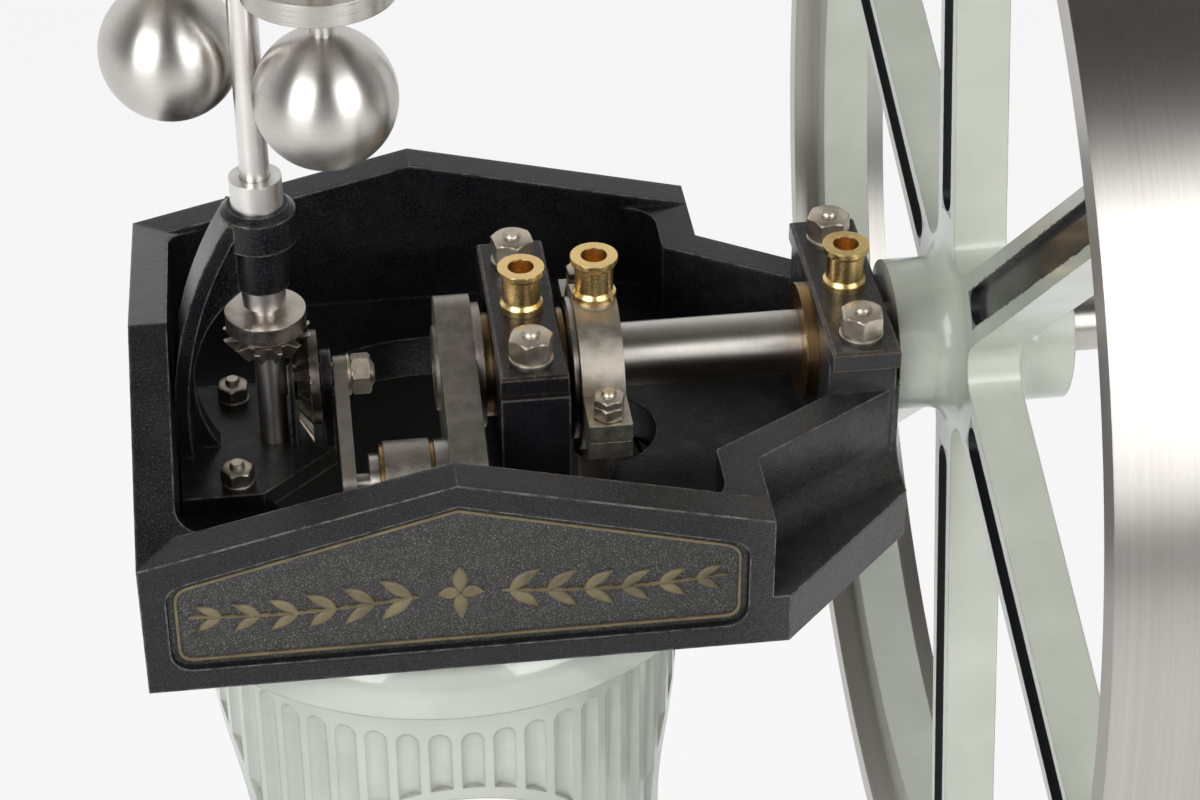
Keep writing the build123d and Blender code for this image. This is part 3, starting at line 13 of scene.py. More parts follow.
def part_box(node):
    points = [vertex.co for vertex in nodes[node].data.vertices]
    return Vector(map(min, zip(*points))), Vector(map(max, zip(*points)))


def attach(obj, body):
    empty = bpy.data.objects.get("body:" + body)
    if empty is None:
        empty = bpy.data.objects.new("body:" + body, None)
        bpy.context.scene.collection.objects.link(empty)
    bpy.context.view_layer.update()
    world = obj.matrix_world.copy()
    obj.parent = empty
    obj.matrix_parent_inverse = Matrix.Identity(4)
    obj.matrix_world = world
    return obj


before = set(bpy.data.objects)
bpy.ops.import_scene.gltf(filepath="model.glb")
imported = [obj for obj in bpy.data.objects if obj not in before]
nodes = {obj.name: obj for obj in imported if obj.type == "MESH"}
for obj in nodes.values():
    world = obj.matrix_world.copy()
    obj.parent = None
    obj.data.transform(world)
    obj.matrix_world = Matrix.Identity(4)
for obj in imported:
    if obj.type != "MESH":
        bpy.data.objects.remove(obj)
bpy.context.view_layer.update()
MM = 0.001
scene = bpy.context.scene


def middle(node):
    """Centre of a CAD node's box."""
    low, high = (Vector(corner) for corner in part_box(node))
    return (low + high) / 2


SHAFT_AXIS = Vector((0.0, 0.0, middle("crankshaft").z))
SPINDLE_AXIS = Vector((middle("governor_spindle").x, 0.0, 0.0))
WHEEL_CENTRE = middle("flywheel")
print("frame loaded:", len(nodes), "nodes, shaft axis at", round(SHAFT_AXIS.z / MM, 1), "mm")

# %% [markdown]
# ## Camera
# The photograph looks down on the crank box from the front. Its angle was found by fitting a pinhole camera
# to the corners of the box and the rim of the flywheel, so the camera is set from a heading, a dip and a
# place. A camera could also be aimed with a constraint, but a matrix built from the three directions has
# nothing left to evaluate.

# %% Camera at the photograph's angle
HEADING = math.radians(7.108)
DIP = math.radians(35.239)
ROLL = math.radians(-0.195)
CAMERA_PLACE = Vector((-0.022204, -0.375353, SHAFT_AXIS.z + 0.259246))
LENS_LENGTH = 93.71
SENSOR_WIDTH = 36.0
NEAREST_SEEN = 0.01
forward = Vector((math.sin(HEADING) * math.cos(DIP), math.cos(HEADING) * math.cos(DIP), -math.sin(DIP)))
level_right = Vector((math.cos(HEADING), -math.sin(HEADING), 0.0))
level_up = level_right.cross(forward)
camera_right = math.cos(ROLL) * level_right + math.sin(ROLL) * level_up
camera_up = math.cos(ROLL) * level_up - math.sin(ROLL) * level_right
camera_aim = Matrix((camera_right, camera_up, -forward)).transposed().to_4x4()
camera_data = bpy.data.cameras.new("photo_camera")
camera_data.lens = LENS_LENGTH
camera_data.sensor_width = SENSOR_WIDTH
camera_data.clip_start = NEAREST_SEEN
camera = bpy.data.objects.new("photo_camera", camera_data)
camera.matrix_world = Matrix.Translation(CAMERA_PLACE) @ camera_aim
scene.collection.objects.link(camera)
scene.camera = camera
scene.view_settings.view_transform = "Standard"
print("camera dips", round(math.degrees(DIP), 1), "degrees")


# %% [markdown]
# ## Small helpers for node trees
# A shader tree is a list of nodes and links. It could be drawn by hand in the shader editor, but then
# nobody could read why a value is what it is. These helpers add a node and wire its inputs in one line, so
# that the materials below read like sums.

# %% Node helpers
def put(tree, kind, inputs=None, **settings):
    """Adds a node. inputs maps a socket's name or number to a value or to another node's output."""
    node = tree.nodes.new(kind)
    for key, value in settings.items():
        setattr(node, key, value)
    for key, value in (inputs or {}).items():
        if isinstance(value, bpy.types.NodeSocket):
            tree.links.new(value, node.inputs[key])
        else:
            node.inputs[key].default_value = value
    return node


def calc(tree, operation, a, b=0.0):
    """One sum of two values or outputs."""
    return put(tree, "ShaderNodeMath", {0: a, 1: b}, operation=operation).outputs[0]


def times(tree, a, b):
    return calc(tree, "MULTIPLY", a, b)


def plus(tree, a, b):
    return calc(tree, "ADD", a, b)


def between(tree, value, low, high, to_low=0.0, to_high=1.0):
    """value carried from the range low..high to another range, and held inside it."""
    return put(tree, "ShaderNodeMapRange", {0: value, 1: low, 2: high, 3: to_low, 4: to_high}).outputs[0]


def blend(tree, factor, a, b):
    """Value a at factor 0 and b at factor 1."""
    return put(tree, "ShaderNodeMix", {0: factor, 2: a, 3: b}).outputs[0]


def tint(tree, factor, a, b):
    """Colour a at factor 0 and b at factor 1. A colour is three numbers or an output."""
    colours = [c if isinstance(c, bpy.types.NodeSocket) else (*c, 1.0) for c in (a, b)]
    return put(tree, "ShaderNodeMix", {0: factor, 6: colours[0], 7: colours[1]}, data_type="RGBA").outputs[2]


def noise(tree, vector, scale, detail=3.0):
    """Soft random value that changes over the surface."""
    return put(tree, "ShaderNodeTexNoise", {"Vector": vector, "Scale": scale, "Detail": detail}).outputs[0]


def scaled(tree, vector, scale):
    return put(tree, "ShaderNodeVectorMath", {0: vector, "Scale": scale}, operation="SCALE").outputs[0]


def millimetres(tree):
    """Place on the piece itself, in millimetres, which turns with the piece."""
    return scaled(tree, put(tree, "ShaderNodeTexCoord").outputs["Object"], 1 / MM)


print("node helpers ready")


# %% Node group helpers
def new_group(name, inputs, outputs):
    """An empty node group. inputs is a list of (name, kind of socket, value)."""
    tree = bpy.data.node_groups.new(name, "ShaderNodeTree")
    for socket_name, kind, value in inputs:
        socket = tree.interface.new_socket(socket_name, in_out="INPUT", socket_type="NodeSocket" + kind)
        socket.default_value = value
    for socket_name in outputs:
        tree.interface.new_socket(socket_name, in_out="OUTPUT", socket_type="NodeSocketFloat")
    return tree, put(tree, "NodeGroupInput").outputs, put(tree, "NodeGroupOutput").inputs


def use_group(tree, name, **values):
    """Places a group in a material. An underscore in a value's name stands for a space."""
    node = put(tree, "ShaderNodeGroup", node_tree=bpy.data.node_groups[name])
    for key, value in values.items():
        node.inputs[key.replace("_", " ")].default_value = value
    return node.outputs


print("group helpers ready")

# %% [markdown]
# ## Shared effects
# Five effects come back on many finishes, so each is a node group that is built once.
#
# Edge wear is paint or dull skin that hands have rubbed off the outer edges. On the black enamel the same
# mask also lightens the edges as a painted highlight. It could be painted on as a mask, but then it would not
# follow a change of shape. The Bevel node rounds the shading normal near an edge; where that normal and the
# real one part, there is an edge. Inner corners part as well, so occlusion keeps only the open ones.

# %% Edge wear and painted edge highlight
EDGE_FROM, EDGE_FULL = 0.99, 0.8
OPEN_FROM, OPEN_FULL = 0.55, 0.85
OPEN_REACH = 2.0 * MM
edge_group, given, out = new_group(
    "edge_wear_and_highlight", [("Width", "Float", 0.0006), ("Breakup", "Float", 0.6), ("Amount", "Float", 1.0)], ["Mask"])
rounded = put(edge_group, "ShaderNodeBevel", {"Radius": given["Width"]}, samples=3).outputs[0]
straight = put(edge_group, "ShaderNodeNewGeometry").outputs["Normal"]
agree = put(edge_group, "ShaderNodeVectorMath", {0: rounded, 1: straight}, operation="DOT_PRODUCT").outputs["Value"]
openness = put(edge_group, "ShaderNodeAmbientOcclusion", {"Distance": OPEN_REACH}, samples=2).outputs["AO"]
open_part = between(edge_group, openness, OPEN_FROM, OPEN_FULL)
edge = times(edge_group, between(edge_group, agree, EDGE_FROM, EDGE_FULL), open_part)
patches = between(edge_group, noise(edge_group, millimetres(edge_group), given["Breakup"], 5.0), 0.38, 0.62, 0.15, 1.0)
edge_group.links.new(times(edge_group, times(edge_group, edge, patches), given["Amount"]), out["Mask"])
print("group:", edge_group.name)

# %% [markdown]
# Corner dirt is the opposite: oil and dust stay where a brush doesn't reach. The ambient occlusion node
# measures how closed in a point is, so occlusion itself is the mask, broken up by a noise. With a wide reach
# the same mask finds the inside of the crank box, where the black enamel uses it as painted shade.

# %% Corner dirt and painted shade
CLOSED_FROM, CLOSED_FULL = 0.9, 0.25
corner_group, given, out = new_group("corner_dirt_and_shade", [("Reach", "Float", 0.004), ("Amount", "Float", 1.0)], ["Mask"])
hidden = put(corner_group, "ShaderNodeAmbientOcclusion", {"Distance": given["Reach"]}, samples=3).outputs["AO"]
depth = between(corner_group, hidden, CLOSED_FROM, CLOSED_FULL)
streaks = between(corner_group, noise(corner_group, millimetres(corner_group), 0.45, 5.0), 0.3, 0.7, 0.3, 1.0)
corner_group.links.new(times(corner_group, times(corner_group, depth, streaks), given["Amount"]), out["Mask"])
print("group:", corner_group.name)

# %% [markdown]
# Casting grain is the sand's print under the paint: fine grains on slow waves. Only the heights and a slow
# tint leave the group; the Bump node that reads them stays in the material, so that each finish sets its
# own depth.

# %% Casting grain
GRAIN_PART, WAVE_PART = 0.65, 0.5
WAVE_FINENESS = 0.18
casting, given, out = new_group("casting_grain", [("Fineness", "Float", 1.2)], ["Height", "Tint"])
place = millimetres(casting)
grains = noise(casting, place, given["Fineness"], 4.0)
waves = noise(casting, place, times(casting, given["Fineness"], WAVE_FINENESS), 3.0)
height = plus(casting, times(casting, grains, GRAIN_PART), times(casting, waves, WAVE_PART))
casting.links.new(height, out["Height"])
casting.links.new(between(casting, waves, 0.3, 0.7), out["Tint"])
print("group:", casting.name)

# %% [markdown]
# Turning marks are the fine rings that a lathe leaves. On a bar they lie one beside the other along the
# axis, and on a flat end they widen from the centre, so the noise is read along the axis and along the
# radius, and hardly at all round the piece. A wave texture could make rings too, but its rings are all
# alike.

# %% Turning marks
ROUND_SHARE = 0.25
BROAD_FINENESS = 0.12
FINE_PART, BROAD_PART = 0.6, 0.4
turning, given, out = new_group(
    "turning_marks",
    [("Centre", "Vector", (0.0, 0.0, 0.0)), ("Axis Is Z", "Float", 0.0), ("Fineness", "Float", 5.0)],
    ["Height", "Shade", "Along", "Radius"])
place = put(turning, "ShaderNodeTexCoord").outputs["Object"]
offset = put(turning, "ShaderNodeVectorMath", {0: place, 1: given["Centre"]}, operation="SUBTRACT").outputs[0]
x, y, z = put(turning, "ShaderNodeSeparateXYZ", {0: scaled(turning, offset, 1 / MM)}).outputs
along = blend(turning, given["Axis Is Z"], x, z)
across = blend(turning, given["Axis Is Z"], z, x)
square = plus(turning, calc(turning, "POWER", y, 2.0), calc(turning, "POWER", across, 2.0))
radius = calc(turning, "SQRT", square)
round_it = times(turning, calc(turning, "ARCTAN2", across, y), ROUND_SHARE)
rings = put(turning, "ShaderNodeCombineXYZ", {0: along, 1: radius, 2: round_it}).outputs[0]
fine = noise(turning, rings, given["Fineness"], 2.0)
broad = noise(turning, rings, times(turning, given["Fineness"], BROAD_FINENESS), 2.0)
shade = plus(turning, times(turning, fine, FINE_PART), times(turning, broad, BROAD_PART))
for output_name, value in (("Height", fine), ("Shade", shade), ("Along", along), ("Radius", radius)):
    turning.links.new(value, out[output_name])
print("group:", turning.name)

# %% [markdown]
# Settled dust lies on faces that look up, as a thin film with pale specks in it. Particles could be strewn
# as real crumbs, but at this size a mask on the paint looks the same and weighs nothing.

# %% Settled dust
SPECK_FINENESS, FILM_FINENESS = 3.2, 0.12
dust, given, out = new_group("settled_dust", [("Specks", "Float", 1.0), ("Film", "Float", 0.3)], ["Mask"])
up = put(dust, "ShaderNodeSeparateXYZ", {0: put(dust, "ShaderNodeTexCoord").outputs["Normal"]}).outputs["Z"]
place = millimetres(dust)
specks = between(dust, noise(dust, place, SPECK_FINENESS, 2.0), 0.67, 0.74)
film = between(dust, noise(dust, place, FILM_FINENESS, 4.0), 0.35, 0.75)
laid = plus(dust, times(dust, specks, given["Specks"]), times(dust, film, given["Film"]))
dust.links.new(times(dust, between(dust, up, -0.1, 0.9, 0.25, 1.0), laid), out["Mask"])
print("group:", dust.name)


# %% [markdown]
# ## Finishes
# Each finish is a material with one Principled shader. What varies over the surface is wired in; what is
# the same all over is set on the shader's own sockets. The relief is a Bump node on top of a Bevel node, so
# edges catch the light without a single extra face.

# %% Start a material
def new_finish(name, **constants):
    """A material with a Principled shader. An underscore in a constant's name stands for a space."""
    material = bpy.data.materials.new(name)
    material.use_nodes = True
    shader = material.node_tree.nodes["Principled BSDF"]
    for key, value in constants.items():
        shader.inputs[key.replace("_", " ")].default_value = value
    return material, material.node_tree, shader


def finish_with(tree, shader, colour, roughness, height, bump, metal=None, soften=0.3):
    """Wires a finish's colour, roughness and relief. bump is the relief's depth and soften the width of
    rounded edges, both in millimetres."""
    tree.links.new(colour, shader.inputs["Base Color"])
    tree.links.new(roughness, shader.inputs["Roughness"])
    if metal is not None:
        tree.links.new(metal, shader.inputs["Metallic"])
    eased = put(tree, "ShaderNodeBevel", {"Radius": soften * MM}, samples=2).outputs[0]
    depth = {"Height": height, "Strength": 1.0, "Distance": bump * MM, "Normal": eased}
    tree.links.new(put(tree, "ShaderNodeBump", depth).outputs["Normal"], shader.inputs["Normal"])


def brushed(tree, shader, axis, amount):
    """Stretches the reflections across the rings that a lathe left round an axis."""
    along_ring = put(tree, "ShaderNodeTangent", direction_type="RADIAL", axis=axis).outputs[0]
    tree.links.new(along_ring, shader.inputs["Tangent"])
    shader.inputs["Anisotropic Rotation"].default_value = 0.25
    shader.inputs["Anisotropic"].default_value = amount


print("finish helpers ready")

# %% [markdown]
# Black enamel covers the crank box, the bearing caps and the governor's castings. It is semi-gloss over a
# sand casting and a little dusty. Its edges are lightened, partly where it is rubbed through to a duller
# metal and partly as a painted highlight. A fine frost of lighter grains is partly pale grit and dust and
# partly painted glints of the grain; inside the box, which a wide occlusion finds, the frost is held back as
# painted shade and the enamel stays black, and towards the nose the frost, with more painted glint, is
# strongest. Plain black would look flat, because black shows only what lies on it.

# %% Black enamel
ENAMEL_DEEP, ENAMEL_PALE = (0.0025, 0.0025, 0.0032), (0.006, 0.006, 0.0075)
# FROST_AND_GLINT is pale grit and dust on the enamel, and also painted glints of its grain.
FROST_AND_GLINT = (0.17, 0.165, 0.165)
OILY = (0.008, 0.006, 0.005)
DUST = (0.27, 0.26, 0.25)
FROST_FROM, FROST_FULL, FROST_MOST = 0.52, 0.74, 0.26
NOSE_FROM, NOSE_TO, NOSE_EXTRA = 34.0, 48.0, 0.2
# FROST_KEPT_IN_SHADE is the share of frost left inside the box, so that the inside is darker as painted
# shade.
FROST_KEPT_IN_SHADE = 0.15
DULL_INSIDE = 0.2


def black_enamel(name, rubbed, rub_and_highlight_amount, film, grain=0.07):
    """Enamel with edges lightened to a colour, partly rubbed-through wear and partly a painted highlight.
    film is the dust's share, grain the relief in millimetres.
    """
    material, tree, shader = new_finish(name, Specular_IOR_Level=0.3)
    sand = use_group(tree, "casting_grain", Fineness=1.5)
    edges = use_group(tree, "edge_wear_and_highlight", Width=0.45 * MM, Breakup=0.5, Amount=rub_and_highlight_amount)["Mask"]
    dusty = use_group(tree, "settled_dust", Specks=0.7, Film=film)["Mask"]
    grime = use_group(tree, "corner_dirt_and_shade", Reach=5 * MM, Amount=0.5)["Mask"]
    # A wide occlusion finds the inside of the box, for the painted shade there.
    inside = use_group(tree, "corner_dirt_and_shade", Reach=30 * MM, Amount=1.0)["Mask"]
    place = millimetres(tree)
    to_nose = put(tree, "ShaderNodeSeparateXYZ", {0: place}).outputs["X"]
    # Towards the nose more frost is added: partly thinner, matt paint and partly painted glints of the grain.
    nose_frost_and_glint = between(tree, to_nose, NOSE_FROM, NOSE_TO, 0.0, NOSE_EXTRA)
    # The frost is partly pale grit and dust and partly painted glints of the grain.
    grains = plus(tree, noise(tree, place, 6.0, 2.0), nose_frost_and_glint)
    frost_and_glint = between(tree, grains, FROST_FROM, FROST_FULL, 0.0, FROST_MOST)
    # Painted shade: inside the box the frost is held back, so the enamel is darker there.
    frost_and_glint = times(tree, frost_and_glint, between(tree, inside, 0.3, 0.7, 1.0, FROST_KEPT_IN_SHADE))
    colour = tint(tree, sand["Tint"], ENAMEL_DEEP, ENAMEL_PALE)
    colour = tint(tree, frost_and_glint, colour, FROST_AND_GLINT)
    colour = tint(tree, grime, colour, OILY)
    colour = tint(tree, times(tree, dusty, 0.4), colour, DUST)
    # The edge colour is partly rubbed-through enamel and partly a painted highlight along the edges.
    colour = tint(tree, edges, colour, rubbed)
    rough = plus(tree, between(tree, sand["Height"], 0.35, 0.8, 0.15, 0.27), times(tree, dusty, 0.4))
    rough = plus(tree, rough, between(tree, inside, 0.1, 0.6, 0.0, DULL_INSIDE))
    finish_with(tree, shader, colour, rough, sand["Height"], grain, times(tree, edges, 0.6), 0.9)
    return material


# Each enamel's edge colour is rubbed metal, made lighter as a painted highlight.
box_enamel = black_enamel("box_enamel", (0.40, 0.385, 0.375), 0.95, 0.06)
cap_enamel = black_enamel("cap_enamel", (0.44, 0.31, 0.21), 0.95, 0.06, 0.06)
bracket_enamel = black_enamel("bracket_enamel", (0.46, 0.44, 0.41), 1.0, 0.07, 0.05)
print("finishes:", box_enamel.name, cap_enamel.name, bracket_enamel.name)

# %% [markdown]
# Grey-green gloss covers the column and the lower castings. The film is thick: it has a soft orange-peel,
# it gathers brown dirt in the flutes and the red primer shows at a few knocked edges. A coat layer over the
# paint gives the wet shine. The column's bore is near-black without the coat: dark bare iron, made darker
# still as painted shade deep in the hole, so its finish changes within a radius.

# %% Grey-green gloss
PRIMER = (0.20, 0.085, 0.055)
GRIME = (0.085, 0.072, 0.055)
COLUMN_PALE, COLUMN_DEEP = (0.50, 0.52, 0.47), (0.44, 0.46, 0.415)
COLUMN_DIRT = 0.7
PEEL = 0.12
GLOSS_COAT = 0.8
BORE_WITHIN = 31.6
# BORE_SHADE_BLACK is near-black, a painted shade for the deep bore.
BORE_SHADE_BLACK = (0.003, 0.003, 0.003)
BORE_ROUGH = 0.8


def green_gloss(tree, pale, deep, dirt_amount):
    """Colour, roughness and height of the gloss paint, for use in a material."""
    peel = use_group(tree, "casting_grain", Fineness=0.55)
    edges = use_group(tree, "edge_wear_and_highlight", Width=0.35 * MM, Breakup=0.35, Amount=0.6)["Mask"]
    grime = use_group(tree, "corner_dirt_and_shade", Reach=3 * MM, Amount=dirt_amount)["Mask"]
    colour = tint(tree, peel["Tint"], pale, deep)
    colour = tint(tree, grime, colour, GRIME)
    colour = tint(tree, edges, colour, PRIMER)
    rough = plus(tree, between(tree, peel["Tint"], 0, 1, 0.14, 0.24), times(tree, grime, 0.3))
    return colour, rough, peel["Height"]


column_gloss, tree, shader = new_finish("column_gloss", Coat_Weight=GLOSS_COAT, Coat_Roughness=0.05)
finish_with(tree, shader, *green_gloss(tree, COLUMN_PALE, COLUMN_DEEP, COLUMN_DIRT), PEEL, soften=0.5)

bored_gloss, tree, shader = new_finish("bored_gloss", Coat_Roughness=0.05)
paint, paint_rough, paint_height = green_gloss(tree, COLUMN_PALE, COLUMN_DEEP, COLUMN_DIRT)
bore = calc(tree, "LESS_THAN", use_group(tree, "turning_marks", Axis_Is_Z=1.0)["Radius"], BORE_WITHIN)
# Within the bore's radius the paint gives way to near-black: painted shade.
colour = tint(tree, bore, paint, BORE_SHADE_BLACK)
tree.links.new(between(tree, bore, 0, 1, GLOSS_COAT, 0.0), shader.inputs["Coat Weight"])
finish_with(tree, shader, colour, blend(tree, bore, paint_rough, BORE_ROUGH), paint_height, PEEL, soften=0.5)
print("finishes:", column_gloss.name, bored_gloss.name)

# %% [markdown]
# The flywheel has three finishes on one casting. The rim was turned bright outside and on its faces, the
# spokes, rib and hub are painted grey-green, and the sunk panels of the spokes are lined black. The faces
# could each get a material of their own, but the CAD mesh keeps its one slot. Where each finish begins is
# worked out instead, from the distance to the shaft and from the place across the nearest spoke.

# %% Where the flywheel is bare, painted or lined
SPOKES = 6
FIRST_SPOKE = math.radians(17.5)
SECTOR = 2 * math.pi / SPOKES
RIM_BARE_FROM = 101.6
PANEL_HALF = 2.78
PANEL_FLOOR = 2.6
PANEL_FROM, PANEL_TO = 18.5, 91.8
RAGGED = 0.16

wheel_finish, tree, shader = new_finish("wheel_finish", Coat_Roughness=0.14)
marks = use_group(tree, "turning_marks", Centre=WHEEL_CENTRE, Fineness=16.0)
place = put(tree, "ShaderNodeTexCoord").outputs["Object"]
offset = put(tree, "ShaderNodeVectorMath", {0: place, 1: WHEEL_CENTRE}, operation="SUBTRACT").outputs[0]
_, to_back, to_top = put(tree, "ShaderNodeSeparateXYZ", {0: offset}).outputs
angle = calc(tree, "SUBTRACT", calc(tree, "ARCTAN2", to_top, to_back), FIRST_SPOKE)
turned_on = calc(tree, "FLOORED_MODULO", plus(tree, angle, SECTOR / 2), SECTOR)
nearest = calc(tree, "SUBTRACT", turned_on, SECTOR / 2)
aside = calc(tree, "ABSOLUTE", times(tree, marks["Radius"], calc(tree, "SINE", nearest)))
ragged = between(tree, noise(tree, millimetres(tree), 0.9, 4.0), 0.3, 0.7, -RAGGED, RAGGED)
in_panel = calc(tree, "LESS_THAN", plus(tree, aside, ragged), PANEL_HALF)
sunk = calc(tree, "GREATER_THAN", calc(tree, "ABSOLUTE", marks["Along"]), PANEL_FLOOR)
beyond_hub = calc(tree, "GREATER_THAN", marks["Radius"], PANEL_FROM)
before_rib = calc(tree, "LESS_THAN", marks["Radius"], PANEL_TO)
lining = times(tree, times(tree, in_panel, sunk), times(tree, beyond_hub, before_rib))
bare = calc(tree, "GREATER_THAN", plus(tree, marks["Radius"], times(tree, ragged, 0.4)), RIM_BARE_FROM)
print("spokes:", SPOKES, "bare beyond a radius of", RIM_BARE_FROM, "mm")

# %% Flywheel finish
WHEEL_PALE, WHEEL_DEEP = (0.48, 0.505, 0.44), (0.42, 0.445, 0.38)
RIM_DARK, RIM_BRIGHT = (0.47, 0.45, 0.42), (0.59, 0.57, 0.54)
LINING_BLACK = (0.006, 0.006, 0.007)
UNDER_COAT = 0.25
paint, paint_rough, paint_height = green_gloss(tree, WHEEL_PALE, WHEEL_DEEP, 0.8)
dull_paint = plus(tree, paint_rough, UNDER_COAT)
tree.links.new(between(tree, bare, 0, 1, GLOSS_COAT, 0.0), shader.inputs["Coat Weight"])
steel = tint(tree, between(tree, marks["Shade"], 0.25, 0.75), RIM_DARK, RIM_BRIGHT)
colour = tint(tree, bare, tint(tree, lining, paint, LINING_BLACK), steel)
rough = blend(tree, bare, dull_paint, between(tree, marks["Height"], 0.3, 0.7, 0.3, 0.36))
height = blend(tree, bare, paint_height, times(tree, marks["Height"], 0.02))
finish_with(tree, shader, colour, rough, height, 0.14, bare)
brushed(tree, shader, "X", 0.8)
print("finish:", wheel_finish.name)


# %% [markdown]
# Turned steel and brass: the shaft, the spindle, the balls and the oil cups. The rings show, oil browns the
# corners and the edges are brightest. Reflections on such metal are drawn out across the rings, which an
# anisotropic shader with a radial tangent gives without modelling a single groove.

# %% Turned metal
TURNED_OIL = (0.07, 0.045, 0.025)
CLOUD_SHARE, CLOUD_SHADE = 0.2, 0.6


def turned_metal(name, dark, bright, centre, axis_is_z=0.0, fineness=14.0, rough=(0.27, 0.33), stain=0.5,
                 relief=0.003, stretch=0.75):
    """Metal from the lathe. rough is the range of roughness, stain the oil's share, relief in millimetres."""
    material, tree, shader = new_finish(name, Metallic=1.0)
    brushed(tree, shader, "Z" if axis_is_z else "X", stretch)
    marks = use_group(tree, "turning_marks", Centre=centre, Axis_Is_Z=axis_is_z, Fineness=fineness)
    grime = use_group(tree, "corner_dirt_and_shade", Reach=3 * MM, Amount=stain)["Mask"]
    edges = use_group(tree, "edge_wear_and_highlight", Width=0.3 * MM, Breakup=1.2, Amount=0.6)["Mask"]
    cloud = between(tree, noise(tree, millimetres(tree), 0.22, 4.0), 0.35, 0.7)
    colour = tint(tree, between(tree, marks["Shade"], 0.25, 0.75), dark, bright)
    colour = tint(tree, times(tree, cloud, CLOUD_SHARE), colour, [c * CLOUD_SHADE for c in dark])
    colour = tint(tree, grime, colour, TURNED_OIL)
    colour = tint(tree, edges, colour, [min(1.0, c * 1.2) for c in bright])
    shine = plus(tree, between(tree, marks["Height"], 0.3, 0.7, *rough), times(tree, grime, 0.25))
    finish_with(tree, shader, colour, shine, marks["Height"], relief)
    return material


STEEL_DARK, STEEL_BRIGHT = (0.52, 0.50, 0.46), (0.62, 0.595, 0.55)
SPINDLE_DARK, SPINDLE_BRIGHT = (0.80, 0.775, 0.74), (0.88, 0.86, 0.825)
BALL_DARK, BALL_BRIGHT = (0.58, 0.555, 0.52), (0.69, 0.665, 0.63)
BRONZE_DARK, BRONZE_BRIGHT = (0.34, 0.20, 0.09), (0.56, 0.37, 0.175)
BRASS_DARK, BRASS_BRIGHT = (0.96, 0.64, 0.25), (1.0, 0.76, 0.36)
COLUMN_AXIS = Vector((0, 0, 0))
shaft_steel = turned_metal("shaft_steel", STEEL_DARK, STEEL_BRIGHT, SHAFT_AXIS, rough=(0.33, 0.39))
spindle_steel = turned_metal("spindle_steel", SPINDLE_DARK, SPINDLE_BRIGHT, SPINDLE_AXIS, 1.0,
                             rough=(0.3, 0.36), stretch=0.6)
column_steel = turned_metal("column_steel", STEEL_DARK, STEEL_BRIGHT, COLUMN_AXIS, 1.0)
bronze = turned_metal("bronze", BRONZE_DARK, BRONZE_BRIGHT, SHAFT_AXIS,
                      rough=(0.26, 0.36), stain=0.8, stretch=0.4)
dishes, balls, cups = {}, {}, {}
for side in ("near", "far"):
    dishes[side] = turned_metal(side + "_dish_steel", STEEL_DARK, STEEL_BRIGHT, middle(side + "_dish"), 1.0,
                                fineness=5.0, rough=(0.24, 0.4))
    balls[side] = turned_metal(side + "_ball_steel", BALL_DARK, BALL_BRIGHT, middle(side + "_ball"), 1.0,
                               fineness=16.0, rough=(0.3, 0.36), stain=0.2)
for side in ("centre", "outer", "eccentric"):
    cups[side] = turned_metal(side + "_cup_brass", BRASS_DARK, BRASS_BRIGHT, middle(side + "_oil_cup"), 1.0,
                              fineness=8.0, rough=(0.24, 0.32), stain=0.4, relief=0.002, stretch=0.2)
print("turned finishes:", 4 + len(dishes) + len(balls) + len(cups))


# %% [markdown]
# Rubbed metal: the crank, the straps, the gears and the nuts. They were filed or cast, so they have a grain
# and no rings, brown oil stands in their corners and their edges are bright. The casting group gives the
# grain, so this finish is the turned one with another relief.

# %% Rubbed metal
RUBBED_OIL = (0.06, 0.04, 0.024)


def rubbed_metal(name, dark, bright, fineness=2.2, rough=(0.34, 0.52), stain=0.6, relief=0.05):
    """Filed or cast metal. rough is the range of roughness, stain the oil's share, relief in millimetres."""
    material, tree, shader = new_finish(name, Metallic=1.0)
    sand = use_group(tree, "casting_grain", Fineness=fineness)
    grime = use_group(tree, "corner_dirt_and_shade", Reach=2.5 * MM, Amount=stain)["Mask"]
    edges = use_group(tree, "edge_wear_and_highlight", Width=0.35 * MM, Breakup=0.9, Amount=0.8)["Mask"]
    colour = tint(tree, sand["Tint"], dark, bright)
    colour = tint(tree, grime, colour, RUBBED_OIL)
    colour = tint(tree, edges, colour, [min(1.0, c * 1.35) for c in bright])
    shine = plus(tree, between(tree, sand["Height"], 0.35, 0.75, *rough), times(tree, grime, 0.2))
    finish_with(tree, shader, colour, shine, sand["Height"], relief)
    return material


crank_steel = rubbed_metal("crank_steel", (0.30, 0.275, 0.235), (0.38, 0.348, 0.30))
strap_steel = rubbed_metal("strap_steel", (0.46, 0.425, 0.36), (0.54, 0.50, 0.43), 3.2, relief=0.03)
gear_steel = rubbed_metal("gear_steel", (0.48, 0.44, 0.38), (0.62, 0.57, 0.50), 2.6, (0.26, 0.4), 0.9)
# The drive bevel gear has a much darker steel colour than the pinion, and the strongest corner dirt.
dark_gear_steel = rubbed_metal("dark_gear_steel", (0.10, 0.088, 0.07), (0.24, 0.21, 0.17), 2.6, (0.22, 0.4), 1.0)
nut_steel = rubbed_metal("nut_steel", (0.54, 0.475, 0.385), (0.66, 0.59, 0.485), 3.0, (0.3, 0.44), 0.8, 0.03)
print("finishes:", len(bpy.data.materials), "materials so far")

# %% [markdown]
# ## Finishes on the CAD nodes
# A node keeps its mesh; only its material slots are filled. One table says which finish each node has, so a
# piece that was forgotten shows in the last line.

